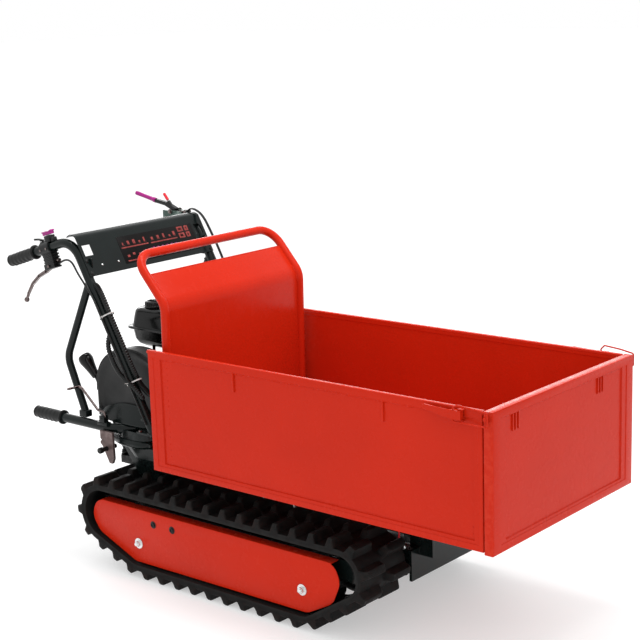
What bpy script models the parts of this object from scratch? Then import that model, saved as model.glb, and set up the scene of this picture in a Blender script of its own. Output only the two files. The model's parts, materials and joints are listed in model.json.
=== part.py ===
"""Power wheelbarrow: a petrol-driven tracked mini dumper with a tipping skip.

Frame: +X forward, +Y to the machine's left, +Z up, in metres. The ground is z = 0.
Most places are given from the skip's lower rear edge, which at() turns into the frame.
"""
import math

import bmesh
import bpy
from mathutils import Matrix, Vector

# ---- driving dimensions (metres) ------------------------------------------------------
SKIP_LENGTH = 1.060            # side panels, front to back
SKIP_WIDTH = 0.633             # over the side panels
SKIP_HEIGHT = 0.332            # side panels, top to bottom
SKIP_BASE_Z = 0.330            # underside of the skip above the ground
SKIP_REAR_X = -0.22145           # rear edge of the skip, from the frame's origin
PANEL_T = 0.012                # depth of a side panel's folded border
PANEL_RECESS = 0.005           # how far a panel's field lies behind its border
GATE_X = 1.0630                # rear face of the front gate, from the skip's rear edge
GATE_T = 0.0256
SHEET_T = 0.003
GAP = 0.0003                   # air between pieces that touch

TRACK_Y = 0.228                # middle of each track, from the centre plane
TRACK_W = 0.180
TRACK_PITCH = 0.060
BELT_T = 0.016                 # rubber carcass
LUG_H = 0.022
SPROCKET = (-0.222, -0.170, 0.068)       # x, z and rolling radius, from the skip's edge
IDLER = (0.634, -0.157, 0.055)
ROLLER_R = 0.056
ROLLER_Z = -0.236
ROLLER_X = (-0.088, 0.505)
WHEEL_GAP = 0.0006             # air between a wheel and the belt
BEAM_HALF = 0.046              # half width of a track's wheel beam
AXLE_R = 0.008

BAR_Y = 0.240                  # handlebar tubes, from the centre plane
BAR_R = 0.0135
GRIP_R = 0.0180
TIP_AXIS = (0.740, -0.078)     # tipping pivot, x and z
GATE_AXIS = (1.0625, -0.004)   # gate hinge, x and z
SLIDE_BAR_X = (0.220, 0.840)
LATCH_X = 1.008                # latch lever's pivot, at the lever's front end
LOOP_X = 0.990                 # where the wire loop turns in the lever
LATCH_Y = 0.3225
LATCH_Z = 0.316
LOOP_Y = 0.3285                # plane of the latch's wire loop

RED = (0.62, 0.035, 0.018)
BLACK = (0.022, 0.026, 0.025)
DARK = (0.012, 0.012, 0.012)
STEEL = (0.55, 0.55, 0.54)
RUBBER = (0.020, 0.019, 0.018)

PARTS = "power_wheelbarrow"
CUTTERS = "cutters"


# ---- small tools ------------------------------------------------------------------------
def at(x, y, z):
    """A point given from the skip's lower rear edge, in the part's own frame."""
    return Vector((SKIP_REAR_X + x, y, SKIP_BASE_Z + z))


def clear_scene():
    for obj in list(bpy.data.objects):
        bpy.data.objects.remove(obj, do_unlink=True)
    for name in (PARTS, CUTTERS):
        collection = bpy.data.collections.get(name) or bpy.data.collections.new(name)
        if name not in bpy.context.scene.collection.children:
            bpy.context.scene.collection.children.link(collection)


def paint(obj, colour, roughness, metallic=0.0):
    material = bpy.data.materials.new(obj.name)
    material.use_nodes = True
    shader = material.node_tree.nodes["Principled BSDF"]
    shader.inputs["Base Color"].default_value = (*colour, 1.0)
    shader.inputs["Roughness"].default_value = roughness
    shader.inputs["Metallic"].default_value = metallic
    obj.data.materials.clear()
    obj.data.materials.append(material)
    return obj


def link(name, data, place=None):
    obj = bpy.data.objects.new(name, data)
    bpy.data.collections[PARTS].objects.link(obj)
    if place is not None:
        obj.matrix_world = place
    return obj


def from_bmesh(name, bm, place=None):
    bmesh.ops.recalc_face_normals(bm, faces=bm.faces)
    mesh = bpy.data.meshes.new(name)
    bm.to_mesh(mesh)
    bm.free()
    return link(name, mesh, place)


def box(name, low, high):
    """A box between two corners, with its origin in its middle."""
    low, high = Vector(low), Vector(high)
    bm = bmesh.new()
    bmesh.ops.create_cube(bm, size=1.0)
    size = [abs(v) for v in (high - low)]
    bmesh.ops.scale(bm, vec=size, verts=bm.verts)
    return from_bmesh(name, bm, Matrix.Translation((low + high) / 2))


def aim(start, direction):
    """A frame at start whose +Z runs along direction."""
    turn = Vector(direction).to_track_quat("Z", "Y").to_matrix().to_4x4()
    return Matrix.Translation(start) @ turn


def rod(name, start, end, radius, sides=16, end_radius=None):
    """A round bar, or a cone where end_radius is given."""
    start, end = Vector(start), Vector(end)
    length = (end - start).length
    bm = bmesh.new()
    top = radius if end_radius is None else end_radius
    bmesh.ops.create_cone(bm, cap_ends=True, segments=sides, radius1=radius, radius2=top, depth=length)
    bmesh.ops.translate(bm, vec=(0, 0, length / 2), verts=bm.verts)
    obj = from_bmesh(name, bm, aim(start, end - start))
    smooth(obj)
    return obj


def smooth(obj, degrees=35.0):
    obj.data.shade_smooth()
    obj.data.set_sharp_from_angle(angle=math.radians(degrees))


def to_mesh(obj, place=None):
    """Turn a curve or a modified object into a plain closed mesh object."""
    bpy.context.view_layer.update()
    evaluated = obj.evaluated_get(bpy.context.evaluated_depsgraph_get())
    mesh = bpy.data.meshes.new_from_object(evaluated)
    bm = bmesh.new()
    bm.from_mesh(mesh)
    bmesh.ops.remove_doubles(bm, verts=bm.verts, dist=0.00001)
    bmesh.ops.recalc_face_normals(bm, faces=bm.faces)
    bm.to_mesh(mesh)
    bm.free()
    name, matrix = obj.name, obj.matrix_world.copy()
    bpy.data.objects.remove(obj, do_unlink=True)
    new = link(name, mesh, matrix if place is None else place)
    return new


def turned(name, profile, start, direction, steps=24):
    """A turned solid: profile is (radius, height) down its outer side, top to bottom."""
    bm = bmesh.new()
    verts = [bm.verts.new((r, 0, h)) for r, h in profile]
    for a, b in zip(verts, verts[1:]):
        bm.edges.new((a, b))
    mesh = bpy.data.meshes.new(name)
    bm.to_mesh(mesh)
    bm.free()
    obj = link(name, mesh, aim(start, direction))
    screw = obj.modifiers.new("turn", "SCREW")
    screw.steps = screw.render_steps = steps
    screw.use_merge_vertices = True
    screw.merge_threshold = 0.00001
    solid = to_mesh(obj)
    smooth(solid)
    return solid


def arc_points(points, radius, steps=5, closed=False):
    """The points of a path with each corner rounded to radius."""
    points = [Vector(p) for p in points]
    count = len(points)
    result = []
    for i, corner in enumerate(points):
        if not closed and i in (0, count - 1):
            result.append(corner)
            continue
        before = points[i - 1]
        after = points[(i + 1) % count]
        a, b = (before - corner), (after - corner)
        half = a.angle(b) / 2
        reach = min(radius / math.tan(half), 0.49 * a.length, 0.49 * b.length)
        true_radius = reach * math.tan(half)
        a.normalize()
        b.normalize()
        centre = corner + (a + b).normalized() * (true_radius / math.sin(half))
        first, last = corner + a * reach - centre, corner + b * reach - centre
        sweep = first.angle(last)
        axis = first.cross(last).normalized()
        for k in range(steps + 1):
            result.append(centre + Matrix.Rotation(sweep * k / steps, 3, axis) @ first)
    return result


def tube(name, points, radius, bend=0.06, steps=5, closed=False, resolution=3):
    """A round tube or wire along points, with its corners bent to a radius."""
    path = arc_points(points, bend, steps, closed)
    curve = bpy.data.curves.new(name, "CURVE")
    curve.dimensions = "3D"
    curve.bevel_depth = radius
    curve.bevel_resolution = resolution
    curve.use_fill_caps = not closed
    spline = curve.splines.new("POLY")
    spline.points.add(len(path) - 1)
    for point, place in zip(spline.points, path):
        point.co = (*place, 1.0)
    spline.use_cyclic_u = closed
    solid = to_mesh(link(name, curve))
    smooth(solid)
    return solid


def plate(name, outline, thickness, plane, holes=()):
    """A flat plate: outline is 2D points in plane, a frame whose +Z is the plate's normal."""
    curve = bpy.data.curves.new(name, "CURVE")
    curve.dimensions = "2D"
    curve.fill_mode = "BOTH"
    curve.extrude = thickness / 2
    for loop in (outline, *holes):
        spline = curve.splines.new("POLY")
        spline.points.add(len(loop) - 1)
        for point, (u, v) in zip(spline.points, loop):
            point.co = (u, v, 0.0, 1.0)
        spline.use_cyclic_u = True
    obj = link(name, curve, plane)
    bpy.context.view_layer.update()
    return to_mesh(obj)


def side_plane(y):
    """A plane standing along X and Z: 2D (u, v) is (x, z) from the skip's rear edge."""
    place = Matrix.Identity(4)
    place.col[0][:3] = (1, 0, 0)
    place.col[1][:3] = (0, 0, 1)
    place.col[2][:3] = (0, -1, 0)
    place.translation = at(0, y, 0)
    return place


def circle(centre, radius, count=16):
    step = 2 * math.pi / count
    return [(centre[0] + radius * math.cos(step * i), centre[1] + radius * math.sin(step * i))
            for i in range(count)]


def boolean(obj, other, operation):
    """Cut other from obj, or join it on. other becomes a hidden guide."""
    modifier = obj.modifiers.new(operation.lower(), "BOOLEAN")
    modifier.operation = operation
    modifier.object = other
    other.name = "guide_" + other.name
    other.hide_render = True
    other.display_type = "WIRE"
    bpy.data.collections[PARTS].objects.unlink(other)
    bpy.data.collections[CUTTERS].objects.link(other)


def fuse(obj, others):
    for other in others:
        boolean(obj, other, "UNION")
    return obj


def cut(obj, others):
    for other in others:
        boolean(obj, other, "DIFFERENCE")
    return obj


def sided(base, side):
    """Node names end in right for -Y and left for +Y."""
    return f"{base}_{'left' if side > 0 else 'right'}"


# ---- tracks -----------------------------------------------------------------------------
def belt_wheels():
    """The wheels a track runs round, counter-clockwise seen with +X right and +Z up."""
    return [SPROCKET, (ROLLER_X[0], ROLLER_Z, ROLLER_R), (ROLLER_X[-1], ROLLER_Z, ROLLER_R), IDLER]


def loop_around(wheels, spread):
    """Arc-length sampled outline around wheels grown by spread: returns f(s), its length."""
    pieces = []
    count = len(wheels)
    normals = []
    for i in range(count):
        ax, az, ar = wheels[i]
        bx, bz, br = wheels[(i + 1) % count]
        run = Vector((bx - ax, bz - az))
        lean = math.acos((ar - br) / run.length)
        angle = math.atan2(run.y, run.x) - lean
        normals.append(angle)
    for i in range(count):
        x, z, r = wheels[i]
        r += spread
        start, end = normals[i - 1], normals[i]
        while end < start:
            end += 2 * math.pi
        pieces.append(("arc", (x, z), r, start, end, r * (end - start)))
        nx, nz, nr = wheels[(i + 1) % count]
        a = Vector((x + r * math.cos(end), z + r * math.sin(end)))
        b = Vector((nx + (nr + spread) * math.cos(end), nz + (nr + spread) * math.sin(end)))
        pieces.append(("line", a, b, end, None, (b - a).length))
    total = sum(piece[-1] for piece in pieces)

    def sample(s):
        s = s % total
        for kind, a, b, c, d, length in pieces:
            if s > length:
                s -= length
                continue
            if kind == "line":
                point = a.lerp(b, s / length)
                return point, Vector((math.cos(c), math.sin(c)))
            angle = c + (d - c) * s / length
            normal = Vector((math.cos(angle), math.sin(angle)))
            return Vector(a) + normal * b, normal
        return sample(0.0)

    return sample, total


def track(side):
    """Rubber belt with two staggered rows of lugs, lofted across its width."""
    sample, length = loop_around(belt_wheels(), BELT_T)
    links = round(length / TRACK_PITCH)
    outer_row = ((0.0, 0), (0.12, 1), (0.38, 1), (0.50, 0), (0.62, 0), (0.88, 0))
    inner_row = ((0.0, 0), (0.12, 0), (0.38, 0), (0.50, 0), (0.62, 1), (0.88, 1))
    half = TRACK_W / 2
    across = [(-half, outer_row), (-0.010, outer_row), (0.010, inner_row), (half, inner_row)]
    bm = bmesh.new()
    rings = []
    for i in range(links):
        for k in range(len(outer_row)):
            point, normal = sample((i + outer_row[k][0]) * length / links)
            column = []
            for offset, row in across:
                out = point + normal * (LUG_H * row[k][1])
                y = side * (TRACK_Y - offset)
                column.append(bm.verts.new(at(out.x, y, out.y)))
            for offset in (half, -half):
                inside = point - normal * BELT_T
                column.append(bm.verts.new(at(inside.x, side * (TRACK_Y - offset), inside.y)))
            rings.append(column)
    for a, b in zip(rings, rings[1:] + rings[:1]):
        for i in range(len(a)):
            j = (i + 1) % len(a)
            bm.faces.new((a[i], a[j], b[j], b[i]))
    return paint(from_bmesh(sided("track", side), bm), RUBBER, 0.75)


def wheel(name, x, z, radius, side, half_width, steps):
    """A running wheel with a sunk web and a bored hub, turned about its axle."""
    bore = AXLE_R + 0.0010
    profile = [(bore, half_width), (0.022, half_width), (0.026, half_width - 0.010),
               (radius - 0.010, half_width - 0.010), (radius - 0.006, half_width),
               (radius, half_width), (radius, -half_width), (bore, -half_width), (bore, half_width)]
    return turned(name, profile, at(x, side * TRACK_Y, z), (0, side, 0), steps)


def sprocket(side):
    """Toothed drive wheel on its own half shaft."""
    x, z, radius = SPROCKET
    teeth = 11
    outer, root = radius - 0.002, radius - 0.013
    outline = []
    for i in range(teeth):
        for part, r in ((-0.30, root), (-0.13, outer), (0.13, outer), (0.30, root)):
            angle = 2 * math.pi * (i + part) / teeth
            outline.append((x + r * math.cos(angle), z + r * math.sin(angle)))
    body = plate(sided("sprocket", side), outline, 0.030, side_plane(side * TRACK_Y))
    shaft = rod(sided("half_shaft", side), at(x, side * 0.0955, z), at(x, side * 0.262, z), 0.013)
    hub = rod(sided("sprocket_hub", side), at(x, side * 0.196, z), at(x, side * 0.256, z), 0.030, 20)
    return paint(fuse(body, [hub, shaft]), DARK, 0.5, 0.6)


def track_beam(side):
    """Hollow-section beam that carries a track's rollers and its front idler."""
    name = sided("track_beam", side)
    low, high = side * (TRACK_Y - BEAM_HALF), side * (TRACK_Y + BEAM_HALF)
    beam = box(name, at(-0.130, low, -0.172), at(0.572, high, -0.130))
    extras = []
    for i, x in enumerate(ROLLER_X + (IDLER[0],)):
        is_idler = i == len(ROLLER_X)
        z = IDLER[1] if is_idler else ROLLER_Z
        for k, inner in enumerate((low, high - side * 0.008)):
            corner = (0.555, 0.658, -0.185, -0.131) if is_idler else (x - 0.020, x + 0.020, z - 0.012, -0.150)
            extras.append(box(f"{name}_ear_{i}_{k}", at(corner[0], inner, corner[2]),
                              at(corner[1], inner + side * 0.008, corner[3])))
        extras.append(rod(f"{name}_axle_{i}", at(x, low + side * 0.004, z), at(x, high - side * 0.004, z), AXLE_R))
    return paint(fuse(beam, extras), BLACK, 0.5)


def running_gear(side):
    for i, x in enumerate(ROLLER_X):
        roller = wheel(sided(f"roller_{i + 1}", side), x, ROLLER_Z, ROLLER_R - WHEEL_GAP, side, 0.034, 20)
        paint(roller, DARK, 0.55, 0.2)
    idler = wheel(sided("idler", side), IDLER[0], IDLER[1], IDLER[2] - WHEEL_GAP, side, 0.034, 24)
    paint(idler, DARK, 0.55, 0.2)


COVER_Y = 0.3050               # outer face of a track's side cover
BOLT_SPOTS = ((-0.088, -0.236, 0.0060), (0.505, -0.236, 0.0060))
STUD_SPOTS = ((-0.027, -0.165, 0.0045), (0.045, -0.165, 0.0045))


def side_cover(side):
    """Pressed cover inside the belt's loop, with a flange folded in along its top."""
    corners = [(-0.252, -0.132), (-0.276, -0.185), (-0.245, -0.228), (-0.105, -0.286),
               (0.520, -0.284), (0.604, -0.240), (0.630, -0.180), (0.611, -0.132)]
    corners = [(x, z, 0.0) for x, z in corners]
    outline = [(p.x, p.y) for p in arc_points(corners, 0.045, 4, True)]
    holes = [circle((x, z), r + 0.0008) for x, z, r in BOLT_SPOTS + STUD_SPOTS]
    middle = side * (COVER_Y - SHEET_T / 2)
    body = plate(sided("side_cover", side), outline, SHEET_T, side_plane(middle), holes)
    flange = box(sided("cover_flange", side), at(-0.230, side * 0.2745, -0.1350),
                 at(0.600, side * (COVER_Y - 0.001), -0.1320))
    return paint(fuse(body, [flange]), RED, 0.35)


def cover_bolts(side):
    """The cover's four fasteners on the strap behind it that they screw into."""
    strap_out = COVER_Y - SHEET_T - GAP
    strap = box(sided("cover_bolts", side), at(-0.100, side * (strap_out - 0.003), -0.243),
                at(0.517, side * strap_out, -0.229))
    extras = [box(sided("stud_strap", side), at(-0.036, side * (strap_out - 0.003), -0.235),
                  at(0.054, side * strap_out, -0.158))]
    for i, (x, z, r) in enumerate(BOLT_SPOTS + STUD_SPOTS):
        head = COVER_Y + GAP
        big = i < len(BOLT_SPOTS)
        name = sided(f"bolt_{i}", side)
        washer = 0.0150 if big else 0.0075
        height = 0.0020 if big else 0.0030
        extras.append(rod(name, at(x, side * (strap_out - 0.002), z), at(x, side * (head + height), z), r, 12))
        extras.append(rod(name + "_washer", at(x, side * head, z), at(x, side * (head + height), z), washer, 16))
        if big:
            extras.append(rod(name + "_spacer", at(x, side * 0.2743, z), at(x, side * strap_out, z), 0.0110, 12))
            extras.append(rod(name + "_head", at(x, side * (head + 0.001), z),
                              at(x, side * (head + 0.0075), z), 0.0085, 6))
            extras.append(rod(name + "_end", at(x, side * (head + 0.007), z),
                              at(x, side * (head + 0.0120), z), r - 0.001, 10))
    return paint(fuse(strap, extras), STEEL, 0.3, 1.0)


# ---- chassis ------------------------------------------------------------------------------
def chassis_frame():
    """Two rails between the tracks, their cross tubes, front plate and tipping ears."""
    rails = box("chassis_frame", at(-0.100, 0.085, -0.190), at(0.7125, 0.125, -0.130))
    extras = [box("rail_right", at(-0.100, -0.125, -0.190), at(0.7125, -0.085, -0.130))]
    for i, x in enumerate((0.035, 0.210, 0.400)):
        extras.append(box(f"cross_tube_{i}", at(x, -0.1817, -0.165), at(x + 0.030, 0.1817, -0.135)))
    extras.append(box("front_plate", at(0.7120, -0.1310, -0.2110), at(0.7200, 0.1310, -0.1290)))
    for side in (-1, 1):
        name = sided("tip_ear", side)
        extras.append(box(name, at(0.690, side * 0.0870, -0.150), at(0.760, side * 0.0960, -0.060)))
        extras.append(box(name + "_rest", at(0.030, side * 0.060, -0.0285 - 0.012), at(0.075, side * 0.120, -0.0288)))
        extras.append(box(name + "_post", at(0.040, side * 0.088, -0.140), at(0.065, side * 0.120, -0.0300)))
    bulkhead = box("bulkhead", at(-0.0300, -0.1900, -0.060), at(-0.0240, 0.1900, 0.060))
    foot = [box(sided("bulkhead_foot", s), at(-0.060, s * 0.088, -0.150), at(-0.0250, s * 0.122, -0.0540))
            for s in (-1, 1)]
    frame = fuse(rails, extras + [bulkhead] + foot)
    x, z = TIP_AXIS
    fuse(frame, [rod("tip_shaft", at(x, -0.106, z), at(x, 0.106, z), 0.0100)])
    return paint(frame, BLACK, 0.45)


RAIL_Z = 0.062                 # upper rear rails
LOWER_RAIL_Z = 0.028
RAIL_GRIP_X = -0.425           # front end of the grips on the upper rails
RELEASE = (-0.255, -0.258, 0.090)        # pivot of the skip's release rod


def rear_frame():
    """Deck for the engine with its bent side rails and the curved plates between them."""
    deck = box("rear_frame", at(-0.255, -0.150, 0.0300), at(-0.0303, 0.150, 0.0350))
    extras = []
    for side in (-1, 1):
        name = sided("upper_rail", side)
        y = side * 0.250
        upper = [at(-0.5560, y, RAIL_Z), at(-0.215, y, RAIL_Z), at(-0.130, side * 0.165, RAIL_Z),
                 at(-0.034, side * 0.150, RAIL_Z)]
        extras.append(tube(name, upper, BAR_R, 0.10, 4))
        name = sided("lower_rail", side)
        lower = [at(-0.290, side * 0.210, LOWER_RAIL_Z), at(-0.195, side * 0.243, LOWER_RAIL_Z),
                 at(-0.105, side * 0.245, LOWER_RAIL_Z), at(-0.090, side * 0.140, LOWER_RAIL_Z)]
        extras.append(tube(name, lower, 0.0115, 0.045, 4, resolution=2))
        name = sided("rail_plate", side)
        path = [(p.x, p.y) for p in arc_points(lower, 0.045, 5)][1:-1]
        extras.append(upright_strip(name, path, SKIP_BASE_Z + LOWER_RAIL_Z, SKIP_BASE_Z + RAIL_Z + 0.002, 0.004))
        extras.append(box(name + "_web", at(-0.270, side * 0.130, 0.0240), at(-0.095, side * 0.236, 0.0330)))
    x, z, _ = PULLEYS["gearbox_pulley"]
    extras.append(box("shaft_hanger", at(x - 0.014, -0.1500, 0.0310), at(x + 0.014, -0.1440, z + 0.012)))
    extras.append(rod("pulley_shaft", at(x, -0.1450, z), at(x, -0.1780, z), 0.0072))
    x, y, z = RELEASE
    extras.append(box("release_bracket", at(x - 0.020, y - 0.0085, 0.0700), at(x + 0.020, y + 0.0085, 0.0800)))
    for i, k in enumerate((-0.0085, 0.0055)):
        extras.append(box(f"release_cheek_{i}", at(x - 0.010, y + k, 0.0770), at(x + 0.010, y + k + 0.0030, 0.0980)))
    extras.append(rod("release_pin", at(x, y - 0.0080, z), at(x, y + 0.0080, z), 0.0026, 10))
    return paint(fuse(deck, extras), BLACK, 0.45)


def upright_strip(name, path, low, high, thickness):
    """A thin upright wall that follows a plan path."""
    bm = bmesh.new()
    columns = [(bm.verts.new((x, y, low)), bm.verts.new((x, y, high))) for x, y in path]
    for a, b in zip(columns, columns[1:]):
        bm.faces.new((a[0], b[0], b[1], a[1]))
    obj = from_bmesh(name, bm)
    wall = obj.modifiers.new("wall", "SOLIDIFY")
    wall.thickness = thickness
    wall.offset = 0.0
    return to_mesh(obj)


def engine_pan():
    """Tapered tray under the engine deck: an open loft with Solidify."""
    bm = bmesh.new()
    levels = ((0.0155, -0.238, 0.222), (-0.020, -0.205, 0.220), (-0.050, -0.165, 0.214))
    rows = []
    for z, rear, half in levels:
        corner = 0.045
        plan = [(-0.034, -half), (rear, -half), (rear, half), (-0.034, half)]
        plan = arc_points([(x, y, 0.0) for x, y in plan], corner, 5)
        rows.append([bm.verts.new(at(p.x, p.y, z)) for p in plan])
    for upper, lower in zip(rows, rows[1:]):
        for i in range(len(upper) - 1):
            bm.faces.new((upper[i], upper[i + 1], lower[i + 1], lower[i]))
    bm.faces.new(rows[-1])
    obj = from_bmesh("engine_pan", bm)
    wall = obj.modifiers.new("wall", "SOLIDIFY")
    wall.thickness = SHEET_T
    wall.offset = 0.0
    return paint(obj, BLACK, 0.5)


def gearbox():
    """Cast gearbox between the tracks with its shift tower and bored shaft noses."""
    body = box("gearbox", at(-0.300, -0.085, -0.225), at(-0.125, 0.085, -0.060))
    extras = [box("shift_tower", at(-0.330, -0.1350, -0.085), at(-0.280, -0.050, -0.062))]
    x, z, _ = SPROCKET
    for side in (-1, 1):
        extras.append(rod(sided("shaft_nose", side), at(x, side * 0.080, z), at(x, side * 0.125, z), 0.034, 24))
    extras.append(box("gearbox_mount", at(-0.1300, -0.060, -0.180), at(-0.1003, 0.060, -0.120)))
    fuse(body, extras)
    for side in (-1, 1):
        cut(body, [rod(sided("nose_bore", side), at(x, side * 0.0950, z), at(x, side * 0.130, z), 0.0140, 24)])
    return paint(body, (0.10, 0.10, 0.105), 0.5, 0.7)


def hitch(side=-1):
    """Latch plate under the right rail and the sprung pin through it."""
    y = side * 0.2690
    outline = [(-0.258, 0.0580), (-0.208, 0.0580), (-0.2065, -0.018), (-0.213, -0.033), (-0.225, -0.033),
               (-0.251, 0.015), (-0.258, 0.020), (-0.258, 0.027), (-0.252, 0.031), (-0.258, 0.035)]
    pin_spot = (-0.233, 0.0085)
    body = plate("latch_plate", outline, 0.008, side_plane(y), [circle(pin_spot, 0.0070)])
    paint(body, (0.16, 0.12, 0.115), 0.45, 0.4)
    x, z = pin_spot
    pin = turned("latch_pin", [(0.0, 0.034), (0.005, 0.034), (0.0085, 0.031), (0.0085, 0.023),
                               (0.0068, 0.018), (0.0062, 0.010), (0.0062, -0.030), (0.0, -0.030)],
                 at(x, y, z), (0, side, 0), 16)
    return paint(pin, DARK, 0.4)


# ---- engine ---------------------------------------------------------------------------------
def engine():
    """Single-cylinder engine on the deck; its crankshaft lies across the machine."""
    base = 0.0353
    block = box("engine_block", at(-0.245, -0.090, base), at(-0.070, 0.090, base + 0.110))
    sump = box("sump", at(-0.255, -0.080, base), at(-0.060, 0.080, base + 0.020))
    shaft = rod("crankshaft", at(-0.150, -0.050, 0.120), at(-0.150, -0.1470, 0.120), 0.0110)
    barrel = rod("cylinder_barrel", at(-0.165, 0.000, base + 0.080), at(-0.165, 0.000, base + 0.1500), 0.050, 20)
    head = box("cylinder_head", at(-0.225, -0.055, 0.1800), at(-0.105, 0.055, 0.2350))
    fins = []
    for i in range(4):
        z = 0.1930 + 0.0110 * i
        fins.append(box(f"head_fin_{i}", at(-0.237, -0.067, z), at(-0.093, 0.067, z + 0.0035)))
    paint(fuse(block, [sump, barrel, shaft, head] + fins), (0.16, 0.16, 0.165), 0.5, 0.8)

    recoil = turned("recoil_starter", [(0.0, 0.040), (0.050, 0.040), (0.078, 0.028), (0.084, 0.0),
                                       (0.0, 0.0)], at(-0.150, 0.0903, 0.122), (0, 1, 0), 24)
    paint(recoil, DARK, 0.4)
    handle = rod("starter_handle", at(-0.2420, 0.0880, 0.1525), at(-0.2420, 0.1320, 0.1525), 0.0070, 12)
    rope = rod("starter_rope", at(-0.242, 0.110, 0.1520), at(-0.2325, 0.110, 0.1495), 0.0020, 8)
    paint(fuse(handle, [rope]), DARK, 0.6)

    muffler = box("muffler", at(-0.066, -0.070, 0.1600), at(-0.010, 0.060, 0.2400))
    bevel(muffler, 0.012, 2)
    paint(muffler, (0.06, 0.055, 0.05), 0.6, 0.6)
    air_box = box("air_cleaner", at(-0.090, -0.080, 0.2450), at(-0.012, 0.110, 0.3350))
    bevel(air_box, 0.014, 2)
    paint(air_box, DARK, 0.4)


def bevel(obj, width, segments=1):
    edge = obj.modifiers.new("rounded", "BEVEL")
    edge.width = width
    edge.segments = segments
    edge.limit_method = "ANGLE"
    return obj


TANK = (-0.206, 0.012, 0.3180)  # middle of the tank's seam


def fuel_tank():
    """Pressed tank in two halves: lofted rounded rectangles with a seam rim."""
    bm = bmesh.new()
    levels = ((0.0560, 0.084, 0.095), (0.0500, 0.092, 0.103), (0.0030, 0.100, 0.112), (0.0030, 0.109, 0.121),
              (-0.0030, 0.109, 0.121), (-0.0030, 0.100, 0.112), (-0.0300, 0.092, 0.104), (-0.0440, 0.070, 0.090))
    rows = []
    for rise, half_x, half_y in levels:
        corners = [(half_x, half_y), (-half_x, half_y), (-half_x, -half_y), (half_x, -half_y)]
        plan = arc_points([(x, y, 0.0) for x, y in corners], 0.030, 4, True)
        rows.append([bm.verts.new(at(TANK[0] + p.x, TANK[1] + p.y, TANK[2] + rise)) for p in plan])
    count = len(rows[0])
    for upper, lower in zip(rows, rows[1:]):
        for i in range(count):
            j = (i + 1) % count
            bm.faces.new((upper[i], upper[j], lower[j], lower[i]))
    bm.faces.new(rows[0])
    bm.faces.new(rows[-1])
    tank = paint(from_bmesh("fuel_tank", bm), DARK, 0.25)
    smooth(tank, 40)
    legs = [box(f"tank_leg_{i}", at(x, -0.030, 0.2353), at(x + 0.018, 0.030, 0.2760))
            for i, x in enumerate((-0.222, -0.150))]
    fuse(tank, legs)
    x, y, z = -0.243, -0.050, TANK[2] + 0.0560 + GAP
    cap = turned("fuel_cap", [(0.0, 0.020), (0.020, 0.020), (0.0270, 0.015), (0.0290, 0.004),
                              (0.0240, 0.0), (0.0, 0.0)], at(x, y, z), (0, 0, 1), 20)
    return paint(cap, DARK, 0.45)


BELT_COVER_Y = 0.2050          # outer face of the drive belt's cover
PULLEYS = {"engine_pulley": (-0.150, 0.120, 0.034), "gearbox_pulley": (-0.265, 0.128, 0.052)}


def drive_belt_set():
    """Two pulleys and the belt between them, behind the cover."""
    for name, (x, z, radius) in PULLEYS.items():
        bore = 0.0115 if name == "engine_pulley" else 0.0080
        profile = [(bore, 0.009), (radius, 0.009), (radius - 0.007, 0.002), (radius - 0.007, -0.002),
                   (radius, -0.009), (bore, -0.009), (bore, 0.009)]
        paint(turned(name, profile, at(x, -0.165, z), (0, -1, 0), 20), (0.20, 0.20, 0.21), 0.4, 0.9)
    wheels = [(x, z, radius - 0.0065) for x, z, radius in PULLEYS.values()]
    wheels = sorted(wheels)
    outer, length = loop_around(wheels, 0.0060)
    count = 40
    bm = bmesh.new()
    rows = []
    for i in range(count):
        point, normal = outer(i * length / count)
        inner = point - normal * 0.0060
        rows.append([bm.verts.new(at(p.x, y, p.y)) for p, y in ((point, -0.1668), (point, -0.1632),
                                                               (inner, -0.1640), (inner, -0.1660))])
    for a, b in zip(rows, rows[1:] + rows[:1]):
        for i in range(4):
            j = (i + 1) % 4
            bm.faces.new((a[i], a[j], b[j], b[i]))
    return paint(from_bmesh("drive_belt", bm), RUBBER, 0.8)


def cover_outline(inset):
    """Outline of the belt cover: straight below, an oval sweep above."""
    low, left, right, top = 0.0758, -0.336 + inset, -0.044 - inset, 0.284 - inset
    shoulder = 0.150
    points = [(left, low)]
    steps = 10
    for i in range(steps + 1):
        angle = math.pi * (1 - i / steps)
        u = (left + right) / 2 + (right - left) / 2 * math.cos(angle)
        v = shoulder + (top - shoulder) * math.sin(angle) ** 0.8
        points.append((u, v))
    points.append((right, low))
    return points


def belt_cover():
    """Deep pressed cover over the drive belt, open below and towards the engine."""
    front, back = -BELT_COVER_Y, -BELT_COVER_Y + 0.055
    bm = bmesh.new()
    rows = []
    for inset, y in ((0.0, front), (0.0, back), (SHEET_T, back), (SHEET_T, front + SHEET_T)):
        rows.append([bm.verts.new(at(x, y, z)) for x, z in cover_outline(inset)])
    for a, b in zip(rows, rows[1:]):
        for i in range(len(a) - 1):
            bm.faces.new((a[i], a[i + 1], b[i + 1], b[i]))
    bm.faces.new(rows[0])
    bm.faces.new(rows[-1])
    for end in (0, -1):
        bm.faces.new([row[end] for row in rows])
    bm.faces.new((rows[0][0], rows[0][-1], rows[-1][-1], rows[-1][0]))
    cover = from_bmesh("belt_cover", bm)
    smooth(cover)
    return paint(cover, (0.035, 0.036, 0.036), 0.4)


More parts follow.
